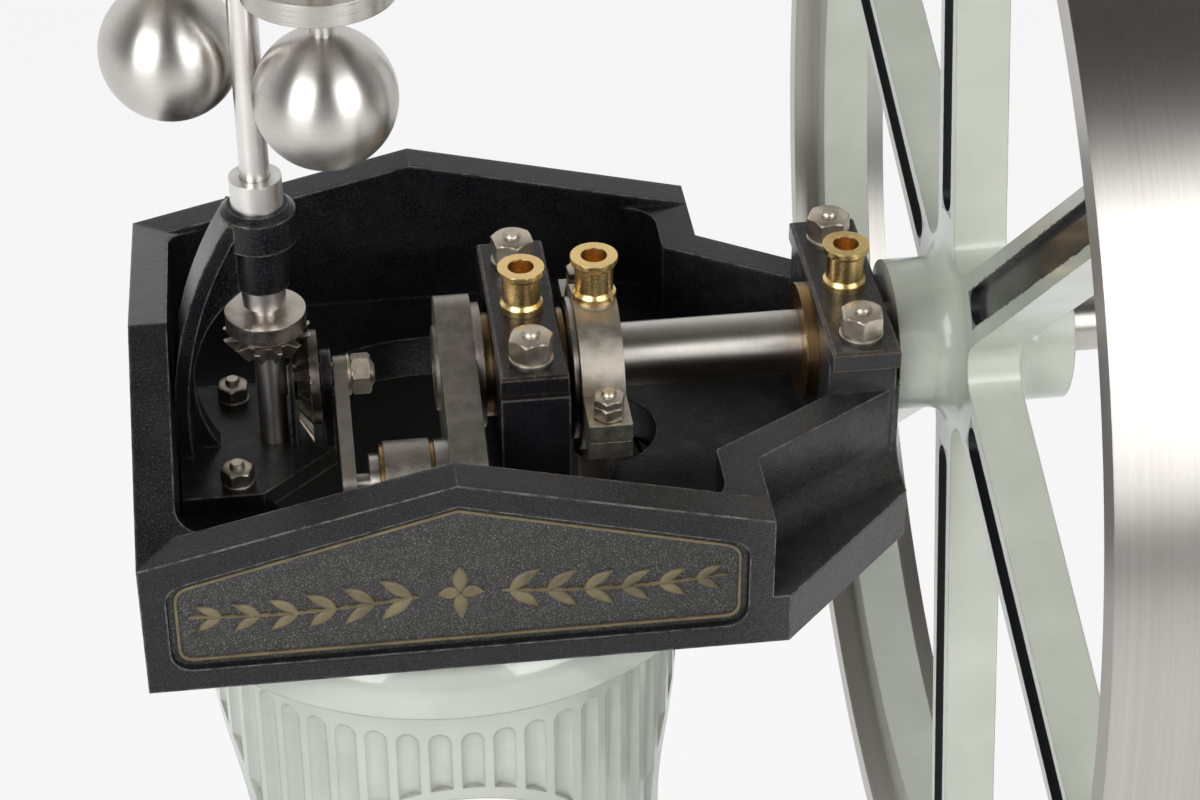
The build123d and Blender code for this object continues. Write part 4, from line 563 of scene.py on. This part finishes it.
# %% Give each node its finish
node_finish = {
    box_enamel: ["crank_box"],
    bracket_enamel: ["governor_bracket", "governor_head"],
    cap_enamel: ["centre_bearing_cap", "outer_bearing_cap"],
    column_gloss: ["cylinder", "valve_chest", "chest_cover", "base_plate"],
    bored_gloss: ["column"],
    wheel_finish: ["flywheel"],
    shaft_steel: ["crankshaft", "crankpin", "eccentric_sheave", "lever_shaft", "wrist_pin"],
    spindle_steel: ["governor_spindle", "spindle_bush", "governor_cap"],
    column_steel: ["cylinder_cover", "piston_rod", "valve_rod", "crosshead"],
    crank_steel: ["crank_web", "drag_lever", "big_end_strap", "connecting_rod", "eccentric_rod",
                  "near_arm", "far_arm"],
    strap_steel: ["eccentric_strap_upper", "eccentric_strap_lower", "valve_pin"],
    gear_steel: ["governor_pinion"],
    dark_gear_steel: ["drive_bevel_gear"],
    bronze: ["centre_bearing_bush", "outer_bearing_bush", "big_end_brasses"],
}
for suffix, finishes in (("_ball", balls), ("_dish", dishes), ("_oil_cup", cups)):
    for side, material in finishes.items():
        node_finish[material] = [side + suffix]
for material, names in node_finish.items():
    for name in names:
        nodes[name].data.materials.clear()
        nodes[name].data.materials.append(material)
finished = {name for names in node_finish.values() for name in names}
print("nodes with a finish:", len(finished), "left over:", sorted(set(nodes) - finished))


# %% [markdown]
# ## Nuts and studs
# Hexagon nuts on studs hold the caps, the eccentric strap and the governor bracket. A real nut is a hexagon
# bar that was chamfered on the lathe. It could be cut with booleans, but each ring of the mesh can simply
# take the smaller of the hexagon and the chamfer's cone. The stud's thread is a row of small ridges.

# %% Rings and stacks
HEX_STEPS = 48
STUD_STEPS = 20
WASHER_STEPS = 32


def ring(radius_at, height, steps):
    """One closed ring of points. radius_at gives the radius at an angle."""
    angles = [2 * math.pi * step / steps for step in range(steps)]
    return [(radius_at(a) * math.cos(a), radius_at(a) * math.sin(a), height) for a in angles]


def stack(rings):
    """Points and faces of a closed stack of rings with the same number of points."""
    steps = len(rings[0])
    points = [p for one in rings for p in one]
    faces = [list(range(steps))[::-1], [len(points) - steps + i for i in range(steps)]]
    for level in range(len(rings) - 1):
        low, high = level * steps, (level + 1) * steps
        for i in range(steps):
            j = (i + 1) % steps
            faces.append([low + i, low + j, high + j, high + i])
    return points, faces


def turned(profile, steps=STUD_STEPS):
    """A stack turned from (height, radius) pairs."""
    return stack([ring(lambda a, r=r: r, height, steps) for height, r in profile])


print("a nut has", HEX_STEPS, "points round, a stud", STUD_STEPS)

# %% Nut and stud shapes
CHAMFER_TOP = 0.47
CHAMFER_ANGLE = math.radians(32)
CHAMFER_SHARES = (0.0, 0.35, 0.7, 1.0)
THREAD_ROOT, STUD_TIP = 0.86, 0.8


def hexagon(across_flats, low, high):
    """A chamfered nut from height low to high."""
    corner = across_flats / math.sqrt(3)
    chamfer = corner - CHAMFER_TOP * across_flats
    drop = chamfer * math.tan(CHAMFER_ANGLE)
    rings = [(low + share * drop, corner - (1 - share) * chamfer) for share in CHAMFER_SHARES]
    rings += [(high - share * drop, corner - (1 - share) * chamfer) for share in CHAMFER_SHARES[::-1]]

    def flat(angle):
        return across_flats / 2 / math.cos((angle % (math.pi / 3)) - math.pi / 6)

    return stack([ring(lambda a, cone=cone: min(flat(a), cone), height, HEX_STEPS) for height, cone in rings])


def threaded_end(radius, low, high, pitch):
    """Stud end with thread ridges and a chamfered tip."""
    count = max(2, round((high - low) / pitch))
    step = (high - low) / count
    profile = [(low, radius)]
    for turn in range(count):
        profile.append((low + (turn + 0.5) * step, radius * THREAD_ROOT))
        profile.append((low + (turn + 1) * step, radius if turn < count - 1 else radius * STUD_TIP))
    return turned(profile)


print("nut shape:", len(hexagon(5 * MM, 0.0, 3 * MM)[1]), "faces")

# %% Place a piece on its body
THREAD_PITCH = 0.45 * MM
WASHER_THICK, WASHER_WIDE = 0.09, 0.56
NUT_AXES = {
    "Z": Matrix.Identity(4),
    "X": Matrix.Rotation(math.pi / 2, 4, "Y"),
    "-Z": Matrix.Rotation(math.pi, 4, "X"),
}


def add_piece(name, shapes, placing, body, material, smooth_below=35):
    """One mesh object made of several shapes (points, faces), placed by a matrix, riding a body."""
    points, faces = [], []
    for shape_points, shape_faces in shapes:
        faces += [[index + len(points) for index in face] for face in shape_faces]
        points += [placing @ Vector(point) for point in shape_points]
    mesh = bpy.data.meshes.new(name)
    mesh.from_pydata(points, [], faces)
    mesh.polygons.foreach_set("use_smooth", [True] * len(faces))
    mesh.set_sharp_from_angle(angle=math.radians(smooth_below))
    mesh.materials.append(material)
    piece = bpy.data.objects.new(name, mesh)
    scene.collection.objects.link(piece)
    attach(piece, body)
    return piece


def nut_on_stud(name, place, body, size, axis="Z", turn=0.0, washer=True):
    """A nut, or a nut and locknut, with a washer and the stud's end. size is the width across flats, the
    heights of the nuts, the stud's radius and how far it stands out."""
    across_flats, heights, stud_radius, stud_end = size
    shapes = []
    level = 0.0
    if washer:
        thick, wide = WASHER_THICK * across_flats, WASHER_WIDE * across_flats
        shapes.append(turned([(0, wide), (thick * 0.7, wide), (thick, wide * 0.95)], WASHER_STEPS))
        level = thick
    for height in heights:
        shapes.append(hexagon(across_flats, level, level + height))
        level += height
    shapes.append(threaded_end(stud_radius, level - 0.1 * MM, level + stud_end, THREAD_PITCH))
    placing = Matrix.Translation(place) @ NUT_AXES[axis] @ Matrix.Rotation(math.radians(turn), 4, "Z")
    return add_piece(name, shapes, placing, body, nut_steel)


print("nuts can point along", ", ".join(NUT_AXES))

# %% Nuts on the bearing caps, the bracket, the strap and the lever
CAP_NUT = (5.7 * MM, [3.4 * MM], 1.35 * MM, 0.8 * MM)
SMALL_NUT = (4.3 * MM, [2.2 * MM], 1.1 * MM, 0.9 * MM)
STRAP_NUTS = (4.0 * MM, [2.2 * MM, 1.3 * MM], 1.1 * MM, 0.8 * MM)
STRAP_BOLT = (4.0 * MM, [2.0 * MM], 1.1 * MM, 0.1 * MM)
LEVER_NUT = (5.4 * MM, [3.0 * MM], 1.7 * MM, 0.5 * MM)
CAP_STUD = 13.0 * MM
BRACKET_PLATE = 3.0 * MM
BRACKET_STUDS = Vector((-29.3, 10.6, 0)) * MM
LUG_STUD = 16.7 * MM
LUG = 2.8 * MM
pieces = []
for side, turns in (("centre", (12, 40)), ("outer", (25, 3))):
    cap_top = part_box(side + "_bearing_cap")[1][2]
    centre = middle(side + "_bearing_cap")
    for where, sign, turn in (("front", -1, turns[0]), ("back", 1, turns[1])):
        place = Vector((centre.x, centre.y + sign * CAP_STUD, cap_top))
        pieces.append(nut_on_stud(f"{side}_cap_{where}_nut", place, "engine_frame", CAP_NUT, turn=turn))

plate_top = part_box("governor_bracket")[0][2] + BRACKET_PLATE
for where, sign, turn in (("front", -1, 8), ("back", 1, 22)):
    place = Vector((BRACKET_STUDS.x, sign * BRACKET_STUDS.y, plate_top))
    pieces.append(nut_on_stud(f"bracket_{where}_nut", place, "engine_frame", SMALL_NUT, turn=turn))

sheave = middle("eccentric_sheave")
strap_x = middle("eccentric_strap_upper").x
for where, sign, turn in (("front", -1, 15), ("back", 1, 33)):
    top = Vector((strap_x, sheave.y + sign * LUG_STUD, sheave.z + LUG))
    pieces.append(nut_on_stud(f"strap_{where}_nuts", top, "eccentric", STRAP_NUTS, turn=turn, washer=False))
    under = Vector((strap_x, sheave.y + sign * LUG_STUD, sheave.z - LUG))
    name = f"strap_{where}_bolt_head"
    pieces.append(nut_on_stud(name, under, "eccentric", STRAP_BOLT, "-Z", turn, washer=False))

lever_end = Vector((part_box("drag_lever")[1][0], *middle("lever_shaft").yz))
pieces.append(nut_on_stud("lever_nut", lever_end, "crank", LEVER_NUT, "X", 10))
print("nuts:", len(pieces))

# %% [markdown]
# The lower castings are held the same way: studs round the cylinder's foot and nuts on the valve chest's
# cover. They repeat, so they are loops, each nut turned a little from the last as a spanner leaves them.

# %% Nuts on the lower castings
FOOT_NUT = (6.0 * MM, [3.2 * MM], 1.5 * MM, 1.4 * MM)
FOOT_CIRCLE = 31.0 * MM
FOOT_ANGLES = (60, 108, 156, 204, 252, 300)
FOOT_FLANGE = 8.0 * MM
FOOT_TURN, COVER_TURN = 17, 23
COVER_EDGE = 4.5 * MM
COVER_ROWS = 4
foot_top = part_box("cylinder")[0][2] + FOOT_FLANGE
for index, degrees in enumerate(FOOT_ANGLES):
    angle = math.radians(degrees)
    place = Vector((FOOT_CIRCLE * math.cos(angle), FOOT_CIRCLE * math.sin(angle), foot_top))
    name = f"cylinder_foot_nut_{index + 1}"
    pieces.append(nut_on_stud(name, place, "engine_frame", FOOT_NUT, turn=FOOT_TURN * index))
cover_low, cover_high = (Vector(corner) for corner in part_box("chest_cover"))
for row in range(COVER_ROWS):
    z = cover_low.z + COVER_EDGE + row * (cover_high.z - cover_low.z - 2 * COVER_EDGE) / (COVER_ROWS - 1)
    for side, y in (("front", cover_low.y + COVER_EDGE), ("back", cover_high.y - COVER_EDGE)):
        place = Vector((cover_high.x, y, z))
        name = f"chest_{side}_nut_{row + 1}"
        pieces.append(nut_on_stud(name, place, "engine_frame", SMALL_NUT, "X", COVER_TURN * row))
print("nuts in all:", len(pieces))

# %% [markdown]
# ## Front panel
# The sunk panel has a frosted black ground, a thin gold line just inside its edge and raised sprigs of
# leaves. The line and the ground follow the panel's own five-sided outline, moved inwards. They could be
# painted in a material, but thin plates catch the light at their edges as thick paint does.

# %% Panel finishes
GOLD_DARK, GOLD_BRIGHT, GOLD_RUBBED = (0.075, 0.060, 0.028), (0.16, 0.13, 0.065), (0.34, 0.29, 0.17)
GROUND_DARK, GROUND_PALE, GROUND_SPARK = (0.008, 0.008, 0.008), (0.020, 0.0195, 0.019), (0.13, 0.125, 0.12)
gold_line, tree, shader = new_finish("gold_line")
sand = use_group(tree, "casting_grain", Fineness=1.6)
rubbed = use_group(tree, "edge_wear_and_highlight", Width=0.15 * MM, Breakup=1.0, Amount=0.8)["Mask"]
colour = tint(tree, rubbed, tint(tree, sand["Tint"], GOLD_DARK, GOLD_BRIGHT), GOLD_RUBBED)
finish_with(tree, shader, colour, between(tree, sand["Height"], 0.3, 0.8, 0.35, 0.6), sand["Height"], 0.05)

frosted, tree, shader = new_finish("frosted_ground")
sand = use_group(tree, "casting_grain", Fineness=3.4)
sparkle = between(tree, noise(tree, millimetres(tree), 5.0, 1.0), 0.56, 0.70)
colour = tint(tree, sparkle, tint(tree, sand["Tint"], GROUND_DARK, GROUND_PALE), GROUND_SPARK)
finish_with(tree, shader, colour, between(tree, sand["Height"], 0.3, 0.8, 0.4, 0.62), sand["Height"], 0.16)
print("finishes:", gold_line.name, frosted.name)

# %% Panel outline
PANEL_MARGIN = 3.5 * MM
PANEL_DEPTH = 1.2 * MM
PANEL_ROUND = 3.0 * MM
PEAK_ROUND = 0.15 * MM
BOX_HALF = 43.2 * MM
BOX_RIM = SHAFT_AXIS.z + 1.0 * MM
box_low, box_high = (Vector(corner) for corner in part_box("crank_box"))
PANEL_CORNERS = [
    Vector((-BOX_HALF + PANEL_MARGIN, box_low.z + PANEL_MARGIN)),
    Vector((BOX_HALF - PANEL_MARGIN, box_low.z + PANEL_MARGIN)),
    Vector((BOX_HALF - PANEL_MARGIN, BOX_RIM - PANEL_MARGIN)),
    Vector((0.0, box_high.z - PANEL_MARGIN)),
    Vector((-BOX_HALF + PANEL_MARGIN, BOX_RIM - PANEL_MARGIN)),
]
PEAK = 3
PANEL_FACE = box_low.y + PANEL_DEPTH


def with_neighbours(points):
    """Each point of a closed outline between the one before and the one after it."""
    count = len(points)
    return [(points[i - 1], points[i], points[(i + 1) % count]) for i in range(count)]


def panel_outline(inset, steps=7):
    """The panel's outline moved inwards, with its lower and shoulder corners rounded."""
    moved = []
    for before, here, after in with_neighbours(PANEL_CORNERS):
        a = (here - before).normalized()
        b = (after - here).normalized()
        inward_a, inward_b = Vector((-a.y, a.x)), Vector((-b.y, b.x))
        moved.append(here + (inward_a + inward_b) * inset / (1 + inward_a.dot(inward_b)))
    outline = []
    for i, (before, here, after) in enumerate(with_neighbours(moved)):
        reach = PEAK_ROUND if i == PEAK else PANEL_ROUND - inset * 0.8
        start = here + (before - here).normalized() * reach
        end = here + (after - here).normalized() * reach
        for step in range(steps + 1):
            t = step / steps
            outline.append(start * (1 - t) ** 2 + here * 2 * t * (1 - t) + end * t ** 2)
    return outline


print("panel corners:", len(PANEL_CORNERS), "outline points:", len(panel_outline(0.0)))

# %% Panel ground and line
GROUND_INSET, GROUND_SUNK, GROUND_RISE = 0.1 * MM, 0.05 * MM, 0.2 * MM
LINE_FROM, LINE_WIDTH, LINE_RISE = 1.0 * MM, 0.38 * MM, 0.45 * MM
FLAT_BELOW = 30


def relief(outer, inner, base, rise):
    """A raised band between two outlines on the panel, or a raised plate where inner is None."""
    steps = len(outer)
    front = base - rise
    points = [(p.x, base, p.y) for p in outer] + [(p.x, front, p.y) for p in outer]
    faces = [[i, (i + 1) % steps, steps + (i + 1) % steps, steps + i] for i in range(steps)]
    if inner is None:
        return points, faces + [list(range(steps, 2 * steps)), list(range(steps))[::-1]]
    points += [(p.x, front, p.y) for p in inner] + [(p.x, base, p.y) for p in inner]
    for ring_start, next_start in ((steps, 2 * steps), (2 * steps, 3 * steps), (3 * steps, 0)):
        for i in range(steps):
            j = (i + 1) % steps
            faces.append([ring_start + i, ring_start + j, next_start + j, next_start + i])
    return points, faces


ON_PANEL = Matrix.Identity(4)
ground = relief(panel_outline(GROUND_INSET), None, PANEL_FACE + GROUND_SUNK, GROUND_RISE)
add_piece("panel_ground", [ground], ON_PANEL, "engine_frame", frosted, FLAT_BELOW)
line = relief(panel_outline(LINE_FROM), panel_outline(LINE_FROM + LINE_WIDTH), PANEL_FACE, LINE_RISE)
add_piece("panel_line", [line], ON_PANEL, "engine_frame", gold_line, FLAT_BELOW)
print("ground faces:", len(ground[1]), "line faces:", len(line[1]))


# %% [markdown]
# The sprigs are one leaf, repeated. A leaf could be sculpted, but a few rows of points along its midrib,
# whose width follows a sine, give the pointed shape and the raised rib. The stem is a row of thin leaves on
# a slow wave.

# %% One leaf
LEAF_ROWS = ((1.0, 0.0), (0.75, 0.32), (0.0, 0.5), (-0.75, 0.32), (-1.0, 0.0))
LEAF_SEAT = 0.1 * MM
LEAF_TIP = 0.02 * MM


def leaf(root, heading, length, width, steps=9):
    """A pointed leaf with a raised midrib, lying on the panel."""
    rows = len(LEAF_ROWS)
    base = PANEL_FACE - LEAF_SEAT
    along = Vector((math.cos(heading), math.sin(heading)))
    aside = Vector((-along.y, along.x))
    points, faces = [], []
    for step in range(steps + 1):
        t = step / steps
        half = width * math.sin(math.pi * t) ** 0.8 * (1 - 0.35 * t) + LEAF_TIP
        spine = root + along * length * t
        for share, rise in LEAF_ROWS:
            spot = spine + aside * (half * share)
            points.append((spot.x, base - rise * MM, spot.y))
    for step in range(steps):
        for a in range(step * rows, step * rows + rows - 1):
            faces.append([a, a + 1, a + rows + 1, a + rows])
    for first in range(0, steps * rows, rows):
        faces.append([first, first + rows, first + 2 * rows - 1, first + rows - 1])
    faces.append([0, *range(rows - 1, 0, -1)])
    faces.append([steps * rows + row for row in range(rows)])
    return points, faces


print("leaf rows:", len(LEAF_ROWS))

# %% Sprigs and rosette on the panel
SPRIG_CENTRE = Vector((0.0, SHAFT_AXIS.z - 7.5 * MM))
SPRIG_REACH = 31.0 * MM
LEAF_PAIRS = 6
STEM_STEPS = 14
STEM_FROM = 4.5 * MM
STEM_DIP, STEM_BEND = 1.2 * MM, 2.6
STEM_LENGTH, STEM_WIDTH = 2.6 * MM, 0.36 * MM
ROSETTE_TALL, ROSETTE_WIDE, ROSETTE_WIDTH = 4.6 * MM, 3.2 * MM, 1.3 * MM


def stem_spot(sign, share):
    """Place on one side's stem, at a share of its length."""
    drop = -STEM_DIP * math.sin(share * STEM_BEND)
    return SPRIG_CENTRE + Vector((sign * (STEM_FROM + share * SPRIG_REACH), drop))


sprig = []
for sign in (-1, 1):
    for step in range(STEM_STEPS):
        share = (step + 0.5) / STEM_STEPS
        slope = -STEM_DIP * STEM_BEND * math.cos(share * STEM_BEND) / SPRIG_REACH * sign
        heading = math.atan(slope) + (math.pi if sign < 0 else 0.0)
        sprig.append(leaf(stem_spot(sign, share), heading, STEM_LENGTH, STEM_WIDTH, 4))
    for pair in range(LEAF_PAIRS):
        share = (pair + 0.4) / LEAF_PAIRS
        length = (5.6 - 1.8 * share) * MM
        width = (1.25 - 0.4 * share) * MM
        for lift in (-1, 1):
            heading = lift * math.radians(38 - 8 * share)
            if sign < 0:
                heading = math.pi - heading
            sprig.append(leaf(stem_spot(sign, share), heading, length, width))
for quarter in range(4):
    length = ROSETTE_TALL if quarter % 2 == 0 else ROSETTE_WIDE
    sprig.append(leaf(SPRIG_CENTRE, math.pi / 2 * quarter + math.pi / 2, length, ROSETTE_WIDTH))
add_piece("panel_sprig", sprig, ON_PANEL, "engine_frame", gold_line, 50)
print("sprig shapes:", len(sprig))

# %% [markdown]
# ## Floor and light
# The floor is pale and wide. To the camera and in reflections it is close to white, which the Light Path
# node tells apart, and it still takes the engine's shadow. A white lamp-lit floor would need far more light
# on the engine.

# %% Floor
FLOOR_HALF = 4.0
FLOOR_GREY = (0.82, 0.82, 0.82, 1)
WHITE = (1, 1, 1, 1)
WHITE_SHARE = 0.85
corners = [(x * FLOOR_HALF, y * FLOOR_HALF, 0) for x, y in ((-1, -1), (1, -1), (1, 1), (-1, 1))]
mesh = bpy.data.meshes.new("floor")
mesh.from_pydata(corners, [], [(0, 1, 2, 3)])
floor = bpy.data.objects.new("floor", mesh)
scene.collection.objects.link(floor)
pale = bpy.data.materials.new("pale_floor")
pale.use_nodes = True
tree = pale.node_tree
tree.nodes.clear()
seen = put(tree, "ShaderNodeLightPath").outputs
direct = calc(tree, "MAXIMUM", seen["Is Camera Ray"], seen["Is Glossy Ray"])
direct = calc(tree, "MAXIMUM", direct, seen["Is Transmission Ray"])
matt = put(tree, "ShaderNodeBsdfDiffuse", {"Color": FLOOR_GREY}).outputs[0]
white = put(tree, "ShaderNodeEmission", {"Color": WHITE, "Strength": 1.0}).outputs[0]
mixed = put(tree, "ShaderNodeMixShader", {0: times(tree, direct, WHITE_SHARE), 1: matt, 2: white}).outputs[0]
put(tree, "ShaderNodeOutputMaterial", {"Surface": mixed})
mesh.materials.append(pale)
print("floor:", 2 * FLOOR_HALF, "m wide")

# %% [markdown]
# The room is pale behind and dim in front and above, and two tall soft lamps stand left and right of the
# camera. An even white room would make steel look like chalk. Here round steel shows two upright bright
# bands with a dark band between them, as in the photograph.

# %% Room
GLOW_FRONT, GLOW_BEHIND = 0.12, 0.85
GLOW_ABOVE = 0.35
room = bpy.data.worlds.new("studio_room")
scene.world = room
room.use_nodes = True
tree = room.node_tree
tree.nodes.clear()
direction = put(tree, "ShaderNodeTexCoord").outputs["Generated"]
_, depth_way, height_way = put(tree, "ShaderNodeSeparateXYZ", {0: direction}).outputs
behind = between(tree, depth_way, -0.2, 0.6, GLOW_FRONT, GLOW_BEHIND)
lower = between(tree, height_way, 0.45, 0.85, 1.0, GLOW_ABOVE)
to_camera = put(tree, "ShaderNodeLightPath").outputs["Is Camera Ray"]
strength = blend(tree, to_camera, times(tree, behind, lower), 1.0)
backdrop = put(tree, "ShaderNodeBackground", {"Color": WHITE, "Strength": strength}).outputs[0]
put(tree, "ShaderNodeOutputWorld", {"Surface": backdrop})
print("room:", room.name)

# %% Lamps
LAMP_WIDTH, LAMP_HEIGHT = 0.75, 0.9


def tall_lamp(name, place, power):
    """A tall soft lamp that looks at the shaft."""
    data = bpy.data.lights.new(name, "AREA")
    data.shape = "RECTANGLE"
    data.size = LAMP_WIDTH
    data.size_y = LAMP_HEIGHT
    data.energy = power
    lamp = bpy.data.objects.new(name, data)
    lamp.location = place
    lamp.rotation_euler = (SHAFT_AXIS - Vector(place)).to_track_quat("-Z", "Y").to_euler()
    scene.collection.objects.link(lamp)
    print("lamp:", name, power, "W")


tall_lamp("left_lamp", (-0.72, -0.80, 0.80), 11.0)
tall_lamp("right_lamp", (0.66, -0.86, 0.80), 10.0)
